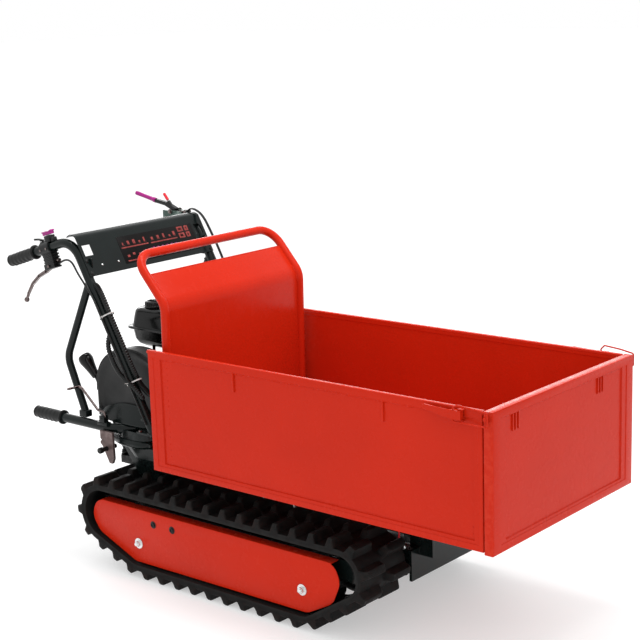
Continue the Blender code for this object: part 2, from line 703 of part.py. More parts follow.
# ---- skip -----------------------------------------------------------------------------------
def skip_floor():
    """Floor plate on two channels and two hollow cross tubes, with tipping ears."""
    floor = box("skip_floor", at(0.0005, -0.3042, 0.0300), at(1.0600, 0.3042, 0.0330))
    extras = []
    for i, x in enumerate(SLIDE_BAR_X):
        extras.append(box(f"cross_rail_{i}", at(x - 0.013, -0.3030, 0.0040), at(x + 0.013, 0.3030, 0.0305)))
    for side in (-1, 1):
        name = sided("channel", side)
        extras.append(box(name, at(0.0300, side * 0.055, -0.0285), at(1.0000, side * 0.085, 0.0045)))
        extras.append(box(name + "_pad", at(0.0300, side * 0.060, 0.0040), at(1.0000, side * 0.080, 0.0305)))
        extras.append(box(name + "_ear", at(TIP_AXIS[0] - 0.024, side * 0.0620, TIP_AXIS[1] - 0.020),
                          at(TIP_AXIS[0] + 0.024, side * 0.0720, -0.0200)))
        extras.append(box(name + "_strap", at(0.985, side * 0.0560, -0.0260), at(0.9990, side * 0.2150, -0.0040)))
        extras.append(box(name + "_arm", at(0.986, side * 0.1850, -0.0105), at(GATE_AXIS[0], side * 0.2140, -0.0045)))
        extras.append(rod(name + "_knuckle", at(GATE_AXIS[0], side * 0.1850, GATE_AXIS[1]),
                          at(GATE_AXIS[0], side * 0.2140, GATE_AXIS[1]), 0.0065))
    fuse(floor, extras)
    cutters = [box(f"slide_bore_{i}", at(x - 0.0095, -0.310, 0.0075), at(x + 0.0095, 0.310, 0.0265))
               for i, x in enumerate(SLIDE_BAR_X)]
    for side in (-1, 1):
        cutters.append(rod(sided("ear_hole", side), at(TIP_AXIS[0], side * 0.055, TIP_AXIS[1]),
                           at(TIP_AXIS[0], side * 0.080, TIP_AXIS[1]), 0.0105))
        cutters.append(rod(sided("knuckle_bore", side), at(GATE_AXIS[0], side * 0.180, GATE_AXIS[1]),
                           at(GATE_AXIS[0], side * 0.220, GATE_AXIS[1]), 0.0034))
    return paint(cut(floor, cutters), RED, 0.35)


def headboard():
    """Tall rear board: a bent sheet welded into a tube hoop whose top is the lifting bar."""
    y = 0.272
    foot_z = 0.0333
    bend = (0.030, 0.448)
    top = (-0.076, 0.5700)
    hoop = [at(0.024, -y, foot_z), at(bend[0], -y, bend[1]), at(top[0], -y, top[1]),
            at(top[0], y, top[1]), at(bend[0], y, bend[1]), at(0.024, y, foot_z)]
    frame = tube("headboard", hoop, 0.0120, 0.055, 5, resolution=4)
    reach = 0.60
    edge = (bend[0] + (top[0] - bend[0]) * reach, bend[1] + (top[1] - bend[1]) * reach)
    profile = arc_points([(0.024, foot_z, 0), (bend[0], bend[1], 0), (edge[0], edge[1], 0)], 0.060, 6)
    sheet = sheet_across("headboard_sheet", [(p.x, p.y) for p in profile], y, SHEET_T)
    return paint(fuse(frame, [sheet]), RED, 0.3)


def sheet_across(name, profile, half_width, thickness):
    """A bent sheet: a profile in x and z run across the machine, with Solidify."""
    bm = bmesh.new()
    rows = [[bm.verts.new(at(x, y, z)) for y in (-half_width, half_width)] for x, z in profile]
    for a, b in zip(rows, rows[1:]):
        bm.faces.new((a[0], a[1], b[1], b[0]))
    obj = from_bmesh(name, bm)
    wall = obj.modifiers.new("sheet", "SOLIDIFY")
    wall.thickness = thickness
    wall.offset = 0.0
    return to_mesh(obj)


def side_panel(side):
    """Side wall with a folded border, two ribs, its slide bars and the latch's pivot tabs."""
    name = sided("side_panel", side)
    outer, inner = side * SKIP_WIDTH / 2, side * (SKIP_WIDTH / 2 - PANEL_T)
    panel = box(name, at(0.0, inner, 0.0), at(SKIP_LENGTH, outer, SKIP_HEIGHT))
    field = box(name + "_field", at(0.046, outer - side * PANEL_RECESS, 0.020),
                at(SKIP_LENGTH - 0.026, outer + side * 0.010, SKIP_HEIGHT - 0.024))
    cut(panel, [field])
    extras = []
    for i, x in enumerate((0.305, 0.781)):
        extras.append(box(f"{name}_rib_{i}", at(x - 0.003, outer - side * 0.008, 0.262),
                          at(x + 0.003, outer - side * 0.001, SKIP_HEIGHT - 0.020)))
    for i, x in enumerate(SLIDE_BAR_X):
        extras.append(box(f"{name}_bar_{i}", at(x - 0.0090, side * 0.0200, 0.0080),
                          at(x + 0.0090, inner + side * 0.002, 0.0260)))
    for i, z in enumerate((LATCH_Z - 0.0140, LATCH_Z + 0.0110)):
        extras.append(box(f"{name}_tab_{i}", at(LATCH_X - 0.007, outer - side * 0.001, z),
                          at(LATCH_X + 0.007, side * (LATCH_Y + 0.0035), z + 0.0030)))
    extras.append(rod(name + "_pivot", at(LATCH_X, side * LATCH_Y, LATCH_Z - 0.0120),
                      at(LATCH_X, side * LATCH_Y, LATCH_Z + 0.0120), 0.0022, 10))
    return paint(fuse(panel, extras), RED, 0.35)


def front_gate():
    """Drop gate with a bordered face, short ribs, hinge knuckles and latch catches."""
    x0, x1 = GATE_X, GATE_X + GATE_T
    half = SKIP_WIDTH / 2
    low = -0.0040
    gate = box("front_gate", at(x0, -half, low), at(x1, half, SKIP_HEIGHT))
    cut(gate, [box("gate_field", at(x1 - PANEL_RECESS, -half + 0.030, low + 0.024),
                   at(x1 + 0.010, half - 0.030, SKIP_HEIGHT - 0.022)),
               box("gate_back", at(x0 - 0.010, -half + 0.022, low + 0.024),
                   at(x1 - PANEL_RECESS - 0.004, half - 0.022, SKIP_HEIGHT - 0.022))])
    extras = []
    for i, y in enumerate((-0.224, -0.210, 0.150, 0.164)):
        extras.append(box(f"gate_rib_{i}", at(x1 - 0.007, y - 0.0025, 0.270),
                          at(x1 - 0.001, y + 0.0025, SKIP_HEIGHT - 0.020)))
    for side in (-1, 1):
        for k, y in enumerate((0.1640, 0.2146)):
            extras.append(rod(sided(f"gate_knuckle_{k}", side), at(GATE_AXIS[0], side * y, GATE_AXIS[1]),
                              at(GATE_AXIS[0], side * (y + 0.0204), GATE_AXIS[1]), 0.0065))
        extras.append(box(sided("catch", side), at(1.0700, side * (half - 0.002), LATCH_Z - 0.0090),
                          at(1.0785, side * 0.3252, LATCH_Z + 0.0090)))
    fuse(gate, extras)
    cut(gate, [rod(f"knuckle_room_{side}", at(GATE_AXIS[0], side * 0.18445, GATE_AXIS[1]),
                   at(GATE_AXIS[0], side * 0.21455, GATE_AXIS[1]), 0.0078) for side in (-1, 1)])
    fuse(gate, [rod(sided("gate_pin", side), at(GATE_AXIS[0], side * 0.1700, GATE_AXIS[1]),
                    at(GATE_AXIS[0], side * 0.2300, GATE_AXIS[1]), 0.0030, 12) for side in (-1, 1)])
    return paint(gate, RED, 0.35)


def latch(side):
    """Over-centre latch: a tapered hand lever and the wire loop it pulls tight."""
    name = sided("latch_lever", side)
    z0, z1 = LATCH_Z - 0.0105, LATCH_Z + 0.0105
    lever = box(name, at(LOOP_X - 0.008, side * 0.3188, z0), at(LATCH_X + 0.0042, side * 0.3318, z1))
    outline = [(LOOP_X + 0.004, LATCH_Z - 0.0100), (LOOP_X + 0.004, LATCH_Z + 0.0100),
               (LOOP_X - 0.030, LATCH_Z + 0.0100), (LOOP_X - 0.078, LATCH_Z + 0.0130),
               (LOOP_X - 0.084, LATCH_Z + 0.0090), (LOOP_X - 0.080, LATCH_Z + 0.0020),
               (LOOP_X - 0.030, LATCH_Z - 0.0080)]
    handle = plate(name + "_handle", outline, 0.0040, side_plane(side * 0.3290))
    fuse(lever, [handle])
    low, high = LATCH_Z - 0.06, LATCH_Z + 0.06
    cut(lever, [rod(name + "_bore", at(LATCH_X, side * LATCH_Y, low), at(LATCH_X, side * LATCH_Y, high), 0.0027, 12),
                rod(name + "_loop_bore", at(LOOP_X, side * LOOP_Y, low), at(LOOP_X, side * LOOP_Y, high),
                    0.0024, 12)])
    paint(lever, RED, 0.35)
    arch = 0.010 if side > 0 else 0.006
    y = side * LOOP_Y
    corners = [at(LOOP_X, y, LATCH_Z - 0.0165), at(1.0822, y, LATCH_Z - 0.0165), at(1.0822, y, LATCH_Z + 0.0160),
               at(LOOP_X + 0.055, y, LATCH_Z + 0.0165 + arch * 0.6), at(LOOP_X + 0.010, y, LATCH_Z + 0.0165 + arch),
               at(LOOP_X, y, LATCH_Z + 0.0160)]
    loop = tube(sided("latch_loop", side), corners, 0.0020, 0.004, 3, closed=True, resolution=1)
    paint(loop, RED, 0.35)


# ---- handlebars and controls -----------------------------------------------------------------
GRIP_END = (-0.632, 0.5030)    # rear end of a handlebar tube, x and z
BAR_BEND = (-0.358, 0.588)
BAR_FOOT = (-0.052, 0.0300)


def along_grip(distance):
    """x and z of a point on the grip's line, distance forward of its rear end."""
    run = Vector((BAR_BEND[0] - GRIP_END[0], BAR_BEND[1] - GRIP_END[1])).normalized()
    return GRIP_END[0] + run.x * distance, GRIP_END[1] + run.y * distance


def down_bar(share):
    """x and z of a point on the down tube, from its bend (0) to its foot (1)."""
    return (BAR_BEND[0] + (BAR_FOOT[0] - BAR_BEND[0]) * share,
            BAR_BEND[1] + (BAR_FOOT[1] - BAR_BEND[1]) * share)


def beside_bar(share, off):
    """x and z of a point off the down tube's centre line, on its upper front side."""
    x, z = down_bar(share)
    run = Vector((BAR_FOOT[0] - BAR_BEND[0], BAR_FOOT[1] - BAR_BEND[1])).normalized()
    return x - run.y * off, z + run.x * off


def handlebar_frame():
    """Both handlebar tubes with their bent struts, joined by cross tubes."""
    foot = (-0.0705, 0.0640)
    tubes = []
    for side in (-1, 1):
        y = side * BAR_Y
        path = [at(GRIP_END[0], y, GRIP_END[1]), at(BAR_BEND[0], y, BAR_BEND[1]), at(foot[0], y, foot[1])]
        tubes.append(tube(sided("bar", side), path, BAR_R, 0.070, 6))
        top = down_bar(0.20)
        strut = [at(top[0], y, top[1]), at(-0.412, y, 0.243), at(-0.352, y, 0.0930)]
        tubes.append(tube(sided("strut", side), strut, 0.0110, 0.030, 4))
        tubes.append(box(sided("strut_foot", side), at(-0.366, y - 0.012, 0.0763), at(-0.336, y + 0.012, 0.0960)))
        tubes.append(box(sided("bar_foot", side), at(-0.130, y - 0.0130, 0.0643), at(-0.058, y + 0.0130, 0.0703)))
    cross = down_bar(0.16)
    tubes.append(rod("cross_tube", at(cross[0], -BAR_Y, cross[1]), at(cross[0], BAR_Y, cross[1]), 0.0100))
    frame = fuse(tubes[0], tubes[1:])
    frame.name = "handlebar_frame"
    return paint(frame, BLACK, 0.4)


def console():
    """Slanted control panel with a rolled top and a window at each end."""
    top, foot = (-0.3350, 0.5800), (-0.2855, 0.4886)
    roll = [(-0.3440, 0.5960), (-0.3640, 0.6010), (-0.3790, 0.5920)]
    profile = arc_points([(foot[0], foot[1], 0)] + [(top[0], top[1], 0)] + [(x, z, 0) for x, z in roll], 0.012, 3)
    panel = sheet_across("console", [(p.x, p.y) for p in profile], 0.245, 0.0025)
    slope = Vector((top[0] - foot[0], top[1] - foot[1])).normalized()
    cutters = []
    for side in (-1, 1):
        low, high = 0.061, 0.093
        a = Vector(foot) + slope * low
        b = Vector(foot) + slope * high
        window = box(sided("window", side), (-0.012, -0.0150, 0), (0.012, 0.0150, high - low))
        mid = at((a.x + b.x) / 2, side * 0.2200, (a.y + b.y) / 2)
        turn = Matrix.Rotation(math.atan2(slope.x, slope.y), 4, "Y")
        window.matrix_world = Matrix.Translation(mid) @ turn
        cutters.append(window)
    return paint(cut(panel, cutters), (0.035, 0.040, 0.038), 0.4)


def grip(name, x, y, z, direction, tube_r, length=0.128):
    """Rubber grip with a flange and a blind bore over the tube's end."""
    bore = tube_r + GAP + 0.0002
    profile = [(0.0, length), (GRIP_R - 0.004, length), (GRIP_R, length - 0.004), (GRIP_R - 0.001, 0.020),
               (GRIP_R, 0.008), (0.0240, 0.006), (0.0240, 0.0), (bore, 0.0), (bore, length - 0.006),
               (0.0, length - 0.006)]
    return paint(turned(name, profile, at(x, y, z), direction, 16), RUBBER, 0.7)


def grips():
    x, z = along_grip(0.118)
    back = Vector((GRIP_END[0] - BAR_BEND[0], 0, GRIP_END[1] - BAR_BEND[1]))
    for side in (-1, 1):
        grip(sided("hand_grip", side), x, side * BAR_Y, z, back, BAR_R)
        grip(sided("rail_grip", side), RAIL_GRIP_X - 0.0120, side * 0.250, RAIL_Z, (-1, 0, 0), BAR_R)


def right_controls():
    """Clutch lever, its housing, the throttle lever and the stop switch on the right bar."""
    y = -BAR_Y
    start, end = along_grip(0.172), along_grip(0.200)
    slope = math.degrees(math.atan2(end[1] - start[1], end[0] - start[0]))
    housing = box("lever_housing_right", (-0.0240, -0.0150, -0.0700), (0.0260, 0.0150, -0.0050))
    clamp = box("clamp_right", (-0.0200, -0.0200, -0.0200), (0.0220, 0.0200, 0.0200))
    base = box("switch_base", (-0.0020, -0.0110, 0.0150), (0.0200, 0.0110, 0.0270))
    place = Matrix.Translation(at(start[0], y, start[1])) @ Matrix.Rotation(math.radians(-slope), 4, "Y")
    for piece in (housing, clamp, base):
        piece.matrix_world = place @ piece.matrix_world
    fuse(housing, [clamp, base])
    bore = rod("housing_bore", along(place, (-0.05, 0, 0)), along(place, (0.05, 0, 0)), BAR_R + 0.0005, 20)
    slot = box("lever_slot", (-0.0400, -0.0055, -0.0900), (0.0120, 0.0055, -0.0380))
    slot.matrix_world = place @ slot.matrix_world
    cut(housing, [bore, slot])
    paint(housing, DARK, 0.45)

    pivot = along(place, (0.0000, 0, -0.0520))
    points = [pivot + Vector((0.0080, 0, 0.0040)), at(-0.480, y, 0.4850), at(-0.513, y, 0.4680), at(-0.545, y, 0.4420),
              at(-0.566, y, 0.4130), at(-0.577, y, 0.3920)]
    lever = tube("clutch_lever_right", points, 0.0042, 0.030, 3, resolution=2)
    ball = turned("lever_ball", [(0.0, 0.0080), (0.0050, 0.0062), (0.0078, 0.0), (0.0050, -0.0062),
                                 (0.0, -0.0080)], points[-1], (0, 0, 1), 12)
    paint(fuse(lever, [ball]), STEEL, 0.25, 1.0)
    eye = rod("lever_eye_right", pivot + Vector((0, -0.0050, 0)), pivot + Vector((0, 0.0050, 0)), 0.0065, 14)
    fuse(lever, [eye])
    cut(lever, [rod("lever_pin_bore", pivot + Vector((0, -0.02, 0)), pivot + Vector((0, 0.02, 0)), 0.0026, 12)])
    fuse(housing, [rod("lever_pin_right", pivot + Vector((0, -0.0140, 0)), pivot + Vector((0, 0.0140, 0)), 0.0022, 12)])

    throttle = box("throttle_lever", (-0.0430, -0.0045, 0.0), (-0.0040, 0.0045, 0.0050))
    bevel(throttle, 0.0015, 1)
    throttle.matrix_world = Matrix.Translation(along(place, (-0.0120, 0.0, 0.0225))) @ Matrix.Rotation(
        math.radians(14 - slope), 4, "Y") @ throttle.matrix_world
    paint(throttle, DARK, 0.45)
    rocker = box("stop_switch", (-0.0200, -0.0080, -0.0060), (0.0200, 0.0080, 0.0065))
    bevel(rocker, 0.0020, 1)
    rocker.matrix_world = Matrix.Translation(along(place, (0.0060, 0.0, 0.0345))) @ Matrix.Rotation(
        math.radians(-slope), 4, "Y") @ rocker.matrix_world
    return paint(rocker, (0.36, 0.01, 0.20), 0.3)


def along(place, local):
    return place @ Vector(local)


def left_controls():
    """Raised clutch lever on its bracket over the left bar, with its lock button."""
    y = BAR_Y
    start, end = along_grip(0.195), along_grip(0.215)
    bracket = box("lever_bracket_left", at(-0.470, y - 0.0190, 0.5330), at(-0.446, y + 0.0190, 0.5930))
    top = box("bracket_fork", at(-0.470, y - 0.0190, 0.5850), at(-0.392, y + 0.0190, 0.6020))
    fuse(bracket, [top])
    cut(bracket, [rod("bracket_bore", at(start[0] - 0.08, y, start[1] - 0.0248), at(end[0] + 0.05, y, end[1] + 0.0155),
                      BAR_R + 0.0005, 20),
                  box("fork_slot", at(-0.480, y - 0.0100, 0.5780), at(-0.410, y + 0.0100, 0.6100))])
    paint(bracket, (0.16, 0.19, 0.18), 0.4, 0.5)
    lever = tube("clutch_lever_left", [at(-0.428, y, 0.6020), at(-0.470, y, 0.6190), at(-0.512, y, 0.6255),
                                       at(-0.602, y, 0.6448)], 0.0055, 0.03, 3)
    sleeve = rod("lever_sleeve", at(-0.522, y, 0.6276), at(-0.604, y, 0.6452), 0.0068, 12)
    pivot = at(-0.436, y, 0.6000)
    hub = rod("lever_hub", pivot + Vector((0, -0.0090, 0)), pivot + Vector((0, 0.0090, 0)), 0.0085, 14)
    fuse(lever, [sleeve, hub])
    cut(lever, [rod("hub_bore", pivot + Vector((0, -0.02, 0)), pivot + Vector((0, 0.02, 0)), 0.0030, 12)])
    paint(lever, DARK, 0.4)
    fuse(bracket, [rod("lever_pin_left", pivot + Vector((0, -0.0210, 0)), pivot + Vector((0, 0.0210, 0)), 0.0026, 12)])
    spot, push = at(-0.4700, y, 0.6310), Vector((-0.65, 0, 0.76)).normalized()
    cut(lever, [rod("lock_bore", spot + push * 0.010, spot - push * 0.0230, 0.0023, 10)])
    button = turned("lever_lock", [(0.0, 0.0260), (0.0035, 0.0260), (0.0046, 0.0230), (0.0046, 0.0),
                                   (0.0018, 0.0), (0.0018, -0.0120), (0.0, -0.0120)], spot, push, 12)
    return paint(button, (0.62, 0.01, 0.03), 0.35)


def gear_lever():
    """Shift lever from the gearbox with a tapered knob."""
    foot, low, knob, top = (-0.322, -0.0580), (-0.395, 0.082), (-0.433, 0.155), (-0.483, 0.212)
    y = -0.120
    shaft = tube("gear_lever", [at(foot[0], y, foot[1]), at(low[0], y, low[1]), at(knob[0] - 0.004, y, knob[1] + 0.005)],
                 0.0050, 0.03, 3)
    run = Vector((top[0] - knob[0], 0, top[1] - knob[1]))
    length = run.length
    ball = turned("gear_knob", [(0.0, length), (0.0150, length - 0.001), (0.0210, length - 0.010),
                                (0.0205, length - 0.022), (0.0120, 0.002), (0.0110, 0.0), (0.0, 0.0)],
                  at(knob[0], y, knob[1]), run, 20)
    socket = turned("gear_foot", [(0.0, 0.010), (0.0080, 0.008), (0.0110, 0.0), (0.0, 0.0)],
                    at(foot[0], y, foot[1] - 0.0003), (0, 0, 1), 16)
    return paint(fuse(shaft, [ball, socket]), DARK, 0.3)


def skip_release():
    """Bent steel rod that frees the skip, on a pivot bracket on the right rail."""
    y = RELEASE[1]
    pivot = at(*RELEASE)
    points = [pivot + Vector((0.006, 0.0, 0.0060)), at(-0.250, y, 0.1080), at(-0.277, y, 0.1100),
              at(-0.345, y, 0.1700), at(-0.352, y - 0.040, 0.1690)]
    handle = tube("skip_release", points, 0.0036, 0.010, 3, resolution=2)
    eye = rod("release_eye", pivot + Vector((0, -0.005, 0)), pivot + Vector((0, 0.005, 0)), 0.0080, 12)
    fuse(handle, [eye])
    cut(handle, [rod("release_bore", pivot + Vector((0, -0.02, 0)), pivot + Vector((0, 0.02, 0)), 0.0030, 10)])
    return paint(handle, STEEL, 0.25, 1.0)


CABLE_R = 0.0028


def smooth_route(points, count):
    """Points read from a smooth curve through a short list of places."""
    points = [Vector(p) for p in points]
    padded = [2 * points[0] - points[1]] + points + [2 * points[-1] - points[-2]]
    result = []
    spans = len(points) - 1
    for k in range(count):
        t = k * spans / (count - 1)
        i = min(int(t), spans - 1)
        t -= i
        a, b, c, d = padded[i:i + 4]
        result.append(0.5 * ((2 * b) + (c - a) * t + (2 * a - 5 * b + 4 * c - d) * t * t
                             + (3 * b - a - 3 * c + d) * t ** 3))
    return result


def cable(name, points, radius, count):
    return paint(tube(name, smooth_route(points, count), radius, 0.0001, 1, resolution=2), RUBBER, 0.5)


def cables():
    """Bowden cables from the hand levers, and the sleeve that holds the right one."""
    y = -BAR_Y
    side = [beside_bar(share, 0.0060) for share in (0.30, 0.45, 0.60, 0.75, 0.88)]
    cable("clutch_cable_right", [at(-0.4260, y, 0.5120), at(-0.400, y, 0.5240), at(-0.376, y - 0.004, 0.5270),
                                 at(-0.350, y - 0.012, 0.5200), at(-0.322, y - 0.018, 0.4940)]
          + [at(x, y - 0.0185, z) for x, z in side], CABLE_R, 28)
    front = [beside_bar(share, 0.0228) for share in (0.22, 0.35, 0.50, 0.64)]
    cable("cable_sleeve", [at(x, y, z) for x, z in front]
          + [at(-0.112, y + 0.004, 0.1980), at(-0.086, y + 0.006, 0.1800)], 0.0085, 16)
    y = BAR_Y
    cable("clutch_cables_left", [at(-0.3885, y, 0.5960), at(-0.366, y, 0.6110), at(-0.336, y, 0.6040),
                                 at(-0.312, y, 0.5840), at(-0.288, y, 0.5480), at(-0.262, y, 0.5050),
                                 at(-0.228, y, 0.4400), at(-0.160, y, 0.3150), at(-0.106, y, 0.2150),
                                 at(-0.080, y, 0.1600)], 0.0045, 28)


def main():
    clear_scene()
    for side in (-1, 1):
        track(side)
        track_beam(side)
        running_gear(side)
        sprocket(side)
        side_cover(side)
        cover_bolts(side)
        side_panel(side)
        latch(side)
    chassis_frame()
    rear_frame()
    engine_pan()
    gearbox()
    hitch()
    engine()
    fuel_tank()
    drive_belt_set()
    belt_cover()
    skip_floor()
    headboard()
    front_gate()
    handlebar_frame()
    console()
    grips()
    right_controls()
    left_controls()
    gear_lever()
    skip_release()
    cables()


main()
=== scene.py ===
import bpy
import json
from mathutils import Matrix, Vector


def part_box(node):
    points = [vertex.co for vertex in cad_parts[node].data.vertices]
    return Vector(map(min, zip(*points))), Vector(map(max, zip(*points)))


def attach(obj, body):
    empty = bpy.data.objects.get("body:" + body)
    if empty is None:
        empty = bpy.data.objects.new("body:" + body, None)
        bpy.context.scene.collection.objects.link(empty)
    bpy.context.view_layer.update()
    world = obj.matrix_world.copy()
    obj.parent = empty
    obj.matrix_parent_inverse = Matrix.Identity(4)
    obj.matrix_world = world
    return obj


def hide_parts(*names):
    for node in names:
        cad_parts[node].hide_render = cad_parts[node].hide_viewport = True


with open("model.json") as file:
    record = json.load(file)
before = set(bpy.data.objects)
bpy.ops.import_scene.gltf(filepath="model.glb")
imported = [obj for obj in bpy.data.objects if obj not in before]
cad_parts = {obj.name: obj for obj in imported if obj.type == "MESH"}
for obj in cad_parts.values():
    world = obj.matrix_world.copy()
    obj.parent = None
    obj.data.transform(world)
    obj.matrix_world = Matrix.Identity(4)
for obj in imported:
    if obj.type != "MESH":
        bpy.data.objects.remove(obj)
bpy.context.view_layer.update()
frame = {"nodes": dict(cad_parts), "record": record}

import json
import math

import bmesh
import bpy
from mathutils import Matrix, Vector

# ---- places, in metres -------------------------------------------------------------------
# Most places are given from the skip's lower rear edge, which at() turns into the frame.
PANEL_LOW, PANEL_HIGH = (Vector(corner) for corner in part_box("side_panel_right"))
SKIP_LENGTH = PANEL_HIGH.x - PANEL_LOW.x
SKIP_HEIGHT = PANEL_HIGH.z - PANEL_LOW.z
SKIP_WIDTH = 0.633
PANEL_T = 0.012
GATE_X = 1.063
GATE_T = 0.0256
GATE_LOW = -0.004
GATE_AXIS = (1.0625, -0.004)
SLIDE_BAR_X = (0.22, 0.84)
LATCH_X, LATCH_Y, LATCH_Z = 1.008, 0.3225, 0.316
LOOP_X, LOOP_Y = 0.99, 0.3285
FOLD_Y = 0.3299

TRACK_Y = 0.228
TRACK_W = 0.18
COVER_BACK_Y = 0.2745
TRACK_PITCH = 0.06
BELT_T = 0.016
LUG_H = 0.022
LUG_CROWN = 0.035
WHEELS = ((-0.222, -0.17, 0.068), (-0.088, -0.236, 0.056), (0.505, -0.236, 0.056), (0.634, -0.157, 0.055))
COVER_Y = 0.305
BOLT_SPOTS = ((-0.088, -0.236), (0.505, -0.236))
STUD_SPOTS = ((-0.027, -0.165), (0.045, -0.165))

BAR_Y, BAR_R = 0.24, 0.0135
GRIP_END = (-0.632, 0.503)
GRIP_RIB_H, GRIP_RIB_PITCH = 0.00035, 0.0021
BAR_BEND = (-0.358, 0.588)
BAR_FOOT = (-0.052, 0.03)
RAIL_Y, RAIL_Z = 0.25, 0.062
LOWER_RAIL_Z = 0.028
BELT_COVER_Y = 0.205
ENGINE_BASE = 0.0353
TANK = (-0.206, 0.012, 0.318)
CONSOLE_FOOT, CONSOLE_TOP = (-0.2855, 0.4886), (-0.335, 0.58)
RELEASE = (-0.255, -0.258, 0.09)

SIDES = (-1, 1)         # right, left
BODY_OF = {node: body for body, nodes in frame["record"]["behaviour"]["bodies"].items() for node in nodes}


def at(x, y, z):
    """A point given from the skip's lower rear edge, in the part's own frame."""
    return Vector((PANEL_LOW.x + x, y, PANEL_LOW.z + z))


def sided(base, side):
    """A node's name with the side of the machine that it is on."""
    return f"{base}_{'left' if side > 0 else 'right'}"


# ---- materials ---------------------------------------------------------------------------
class Recipe:
    """A material's node tree, with the few kinds of node that the finishes are made of."""

    def __init__(self, name):
        self.material = bpy.data.materials.new(name)
        self.material.use_nodes = True
        self.nodes = self.material.node_tree.nodes
        self.links = self.material.node_tree.links
        self.shader = self.nodes["Principled BSDF"]

    def noise(self, scale, detail=4.0, roughness=0.55, stretch=None):
        """A noise texture in the object's own coordinates, in metres."""
        coordinates = self.nodes.new("ShaderNodeTexCoord")
        mapping = self.nodes.new("ShaderNodeMapping")
        if stretch is not None:
            mapping.inputs["Scale"].default_value = stretch
        texture = self.nodes.new("ShaderNodeTexNoise")
        texture.inputs["Scale"].default_value = scale
        texture.inputs["Detail"].default_value = detail
        texture.inputs["Roughness"].default_value = roughness
        self.links.new(coordinates.outputs["Object"], mapping.inputs["Vector"])
        self.links.new(mapping.outputs["Vector"], texture.inputs["Vector"])
        return texture.outputs["Fac"]

    def ranged(self, value, low_in, high_in, low, high):
        """A value mapped from one range to another, held at its ends."""
        node = self.nodes.new("ShaderNodeMapRange")
        node.inputs["From Min"].default_value = low_in
        node.inputs["From Max"].default_value = high_in
        node.inputs["To Min"].default_value = low
        node.inputs["To Max"].default_value = high
        self.links.new(value, node.inputs["Value"])
        return node.outputs["Result"]

    def mixed(self, factor, first, second):
        """Colour mix; first and second are colours or sockets."""
        node = self.nodes.new("ShaderNodeMix")
        node.data_type = "RGBA"
        self.links.new(factor, node.inputs["Factor"])
        for socket, value in ((node.inputs[6], first), (node.inputs[7], second)):
            if isinstance(value, tuple):
                socket.default_value = (*value, 1.0)
            else:
                self.links.new(value, socket)
        return node.outputs[2]

    def maths(self, a, b, operation="MULTIPLY"):
        """One sum, product or sine of numbers or sockets."""
        node = self.nodes.new("ShaderNodeMath")
        node.operation = operation
        for socket, value in zip(node.inputs, (a, b)):
            if isinstance(value, float):
                socket.default_value = value
            else:
                self.links.new(value, socket)
        return node.outputs["Value"]

    def bumped(self, height):
        """Height in metres, from a socket, as the surface's bump."""
        bump = self.nodes.new("ShaderNodeBump")
        bump.inputs["Distance"].default_value = 1.0
        self.links.new(height, bump.inputs["Height"])
        self.links.new(bump.outputs["Normal"], self.shader.inputs["Normal"])
        return self.material


def shaded(colour, share):
    """The colour made darker or lighter by share."""
    return tuple(min(1.0, c * share) for c in colour)


def finish_material(name, colour, roughness, metallic=0.0, vary=0.1, patch=7.0, second=None, worn=None,
        wear_and_sheen_from=0.54, grain=(600.0, 0.00003), wave=None, stretch=None, rough_vary=0.07, coat=0.0,
        specular=0.22):
    """One painted, moulded or plated finish: colour patches, dirt, lighter sharp edges for wear (on the red
    paint also a painted highlight along the rounded edges), roughness and bump.
    """
    recipe = Recipe(name)
    shader = recipe.shader
    patches = recipe.noise(patch, 5.0, 0.6)
    dark = second or shaded(colour, 1.0 - vary)
    share = recipe.ranged(patches, 0.35, 0.68, 0.0, 1.0)
    tone = recipe.mixed(share, dark, shaded(colour, 1.0 + vary * 0.6))
    # Lighter colour on sharp edges: edge wear, and on the red paint a painted highlight along the rounded
    # edges.
    if worn is not None:
        pointiness = recipe.nodes.new("ShaderNodeNewGeometry").outputs["Pointiness"]
        edge = recipe.ranged(pointiness, wear_and_sheen_from, wear_and_sheen_from + 0.08, 0.0, 1.0)
        edge_breakup = recipe.ranged(recipe.noise(90.0, 3.0), 0.42, 0.62, 0.0, 1.0)
        tone = recipe.mixed(recipe.maths(edge, edge_breakup), tone, worn)
    recipe.links.new(tone, shader.inputs["Base Color"])
    smears = recipe.noise(28.0, 4.0, 0.6, stretch)
    recipe.links.new(recipe.ranged(smears, 0.3, 0.7, roughness - rough_vary, roughness + rough_vary),
        shader.inputs["Roughness"])
    shader.inputs["Metallic"].default_value = metallic
    shader.inputs["Specular IOR Level"].default_value = specular
    shader.inputs["Coat Weight"].default_value = coat
    shader.inputs["Coat Roughness"].default_value = 0.12
    scale, depth = grain
    height = recipe.maths(recipe.noise(scale, 2.0, 0.5, stretch), depth)
    if wave is not None:
        slow = recipe.maths(recipe.noise(wave[0], 2.0, 0.4), wave[1])
        height = recipe.maths(height, slow, "ADD")
    return recipe.bumped(height)


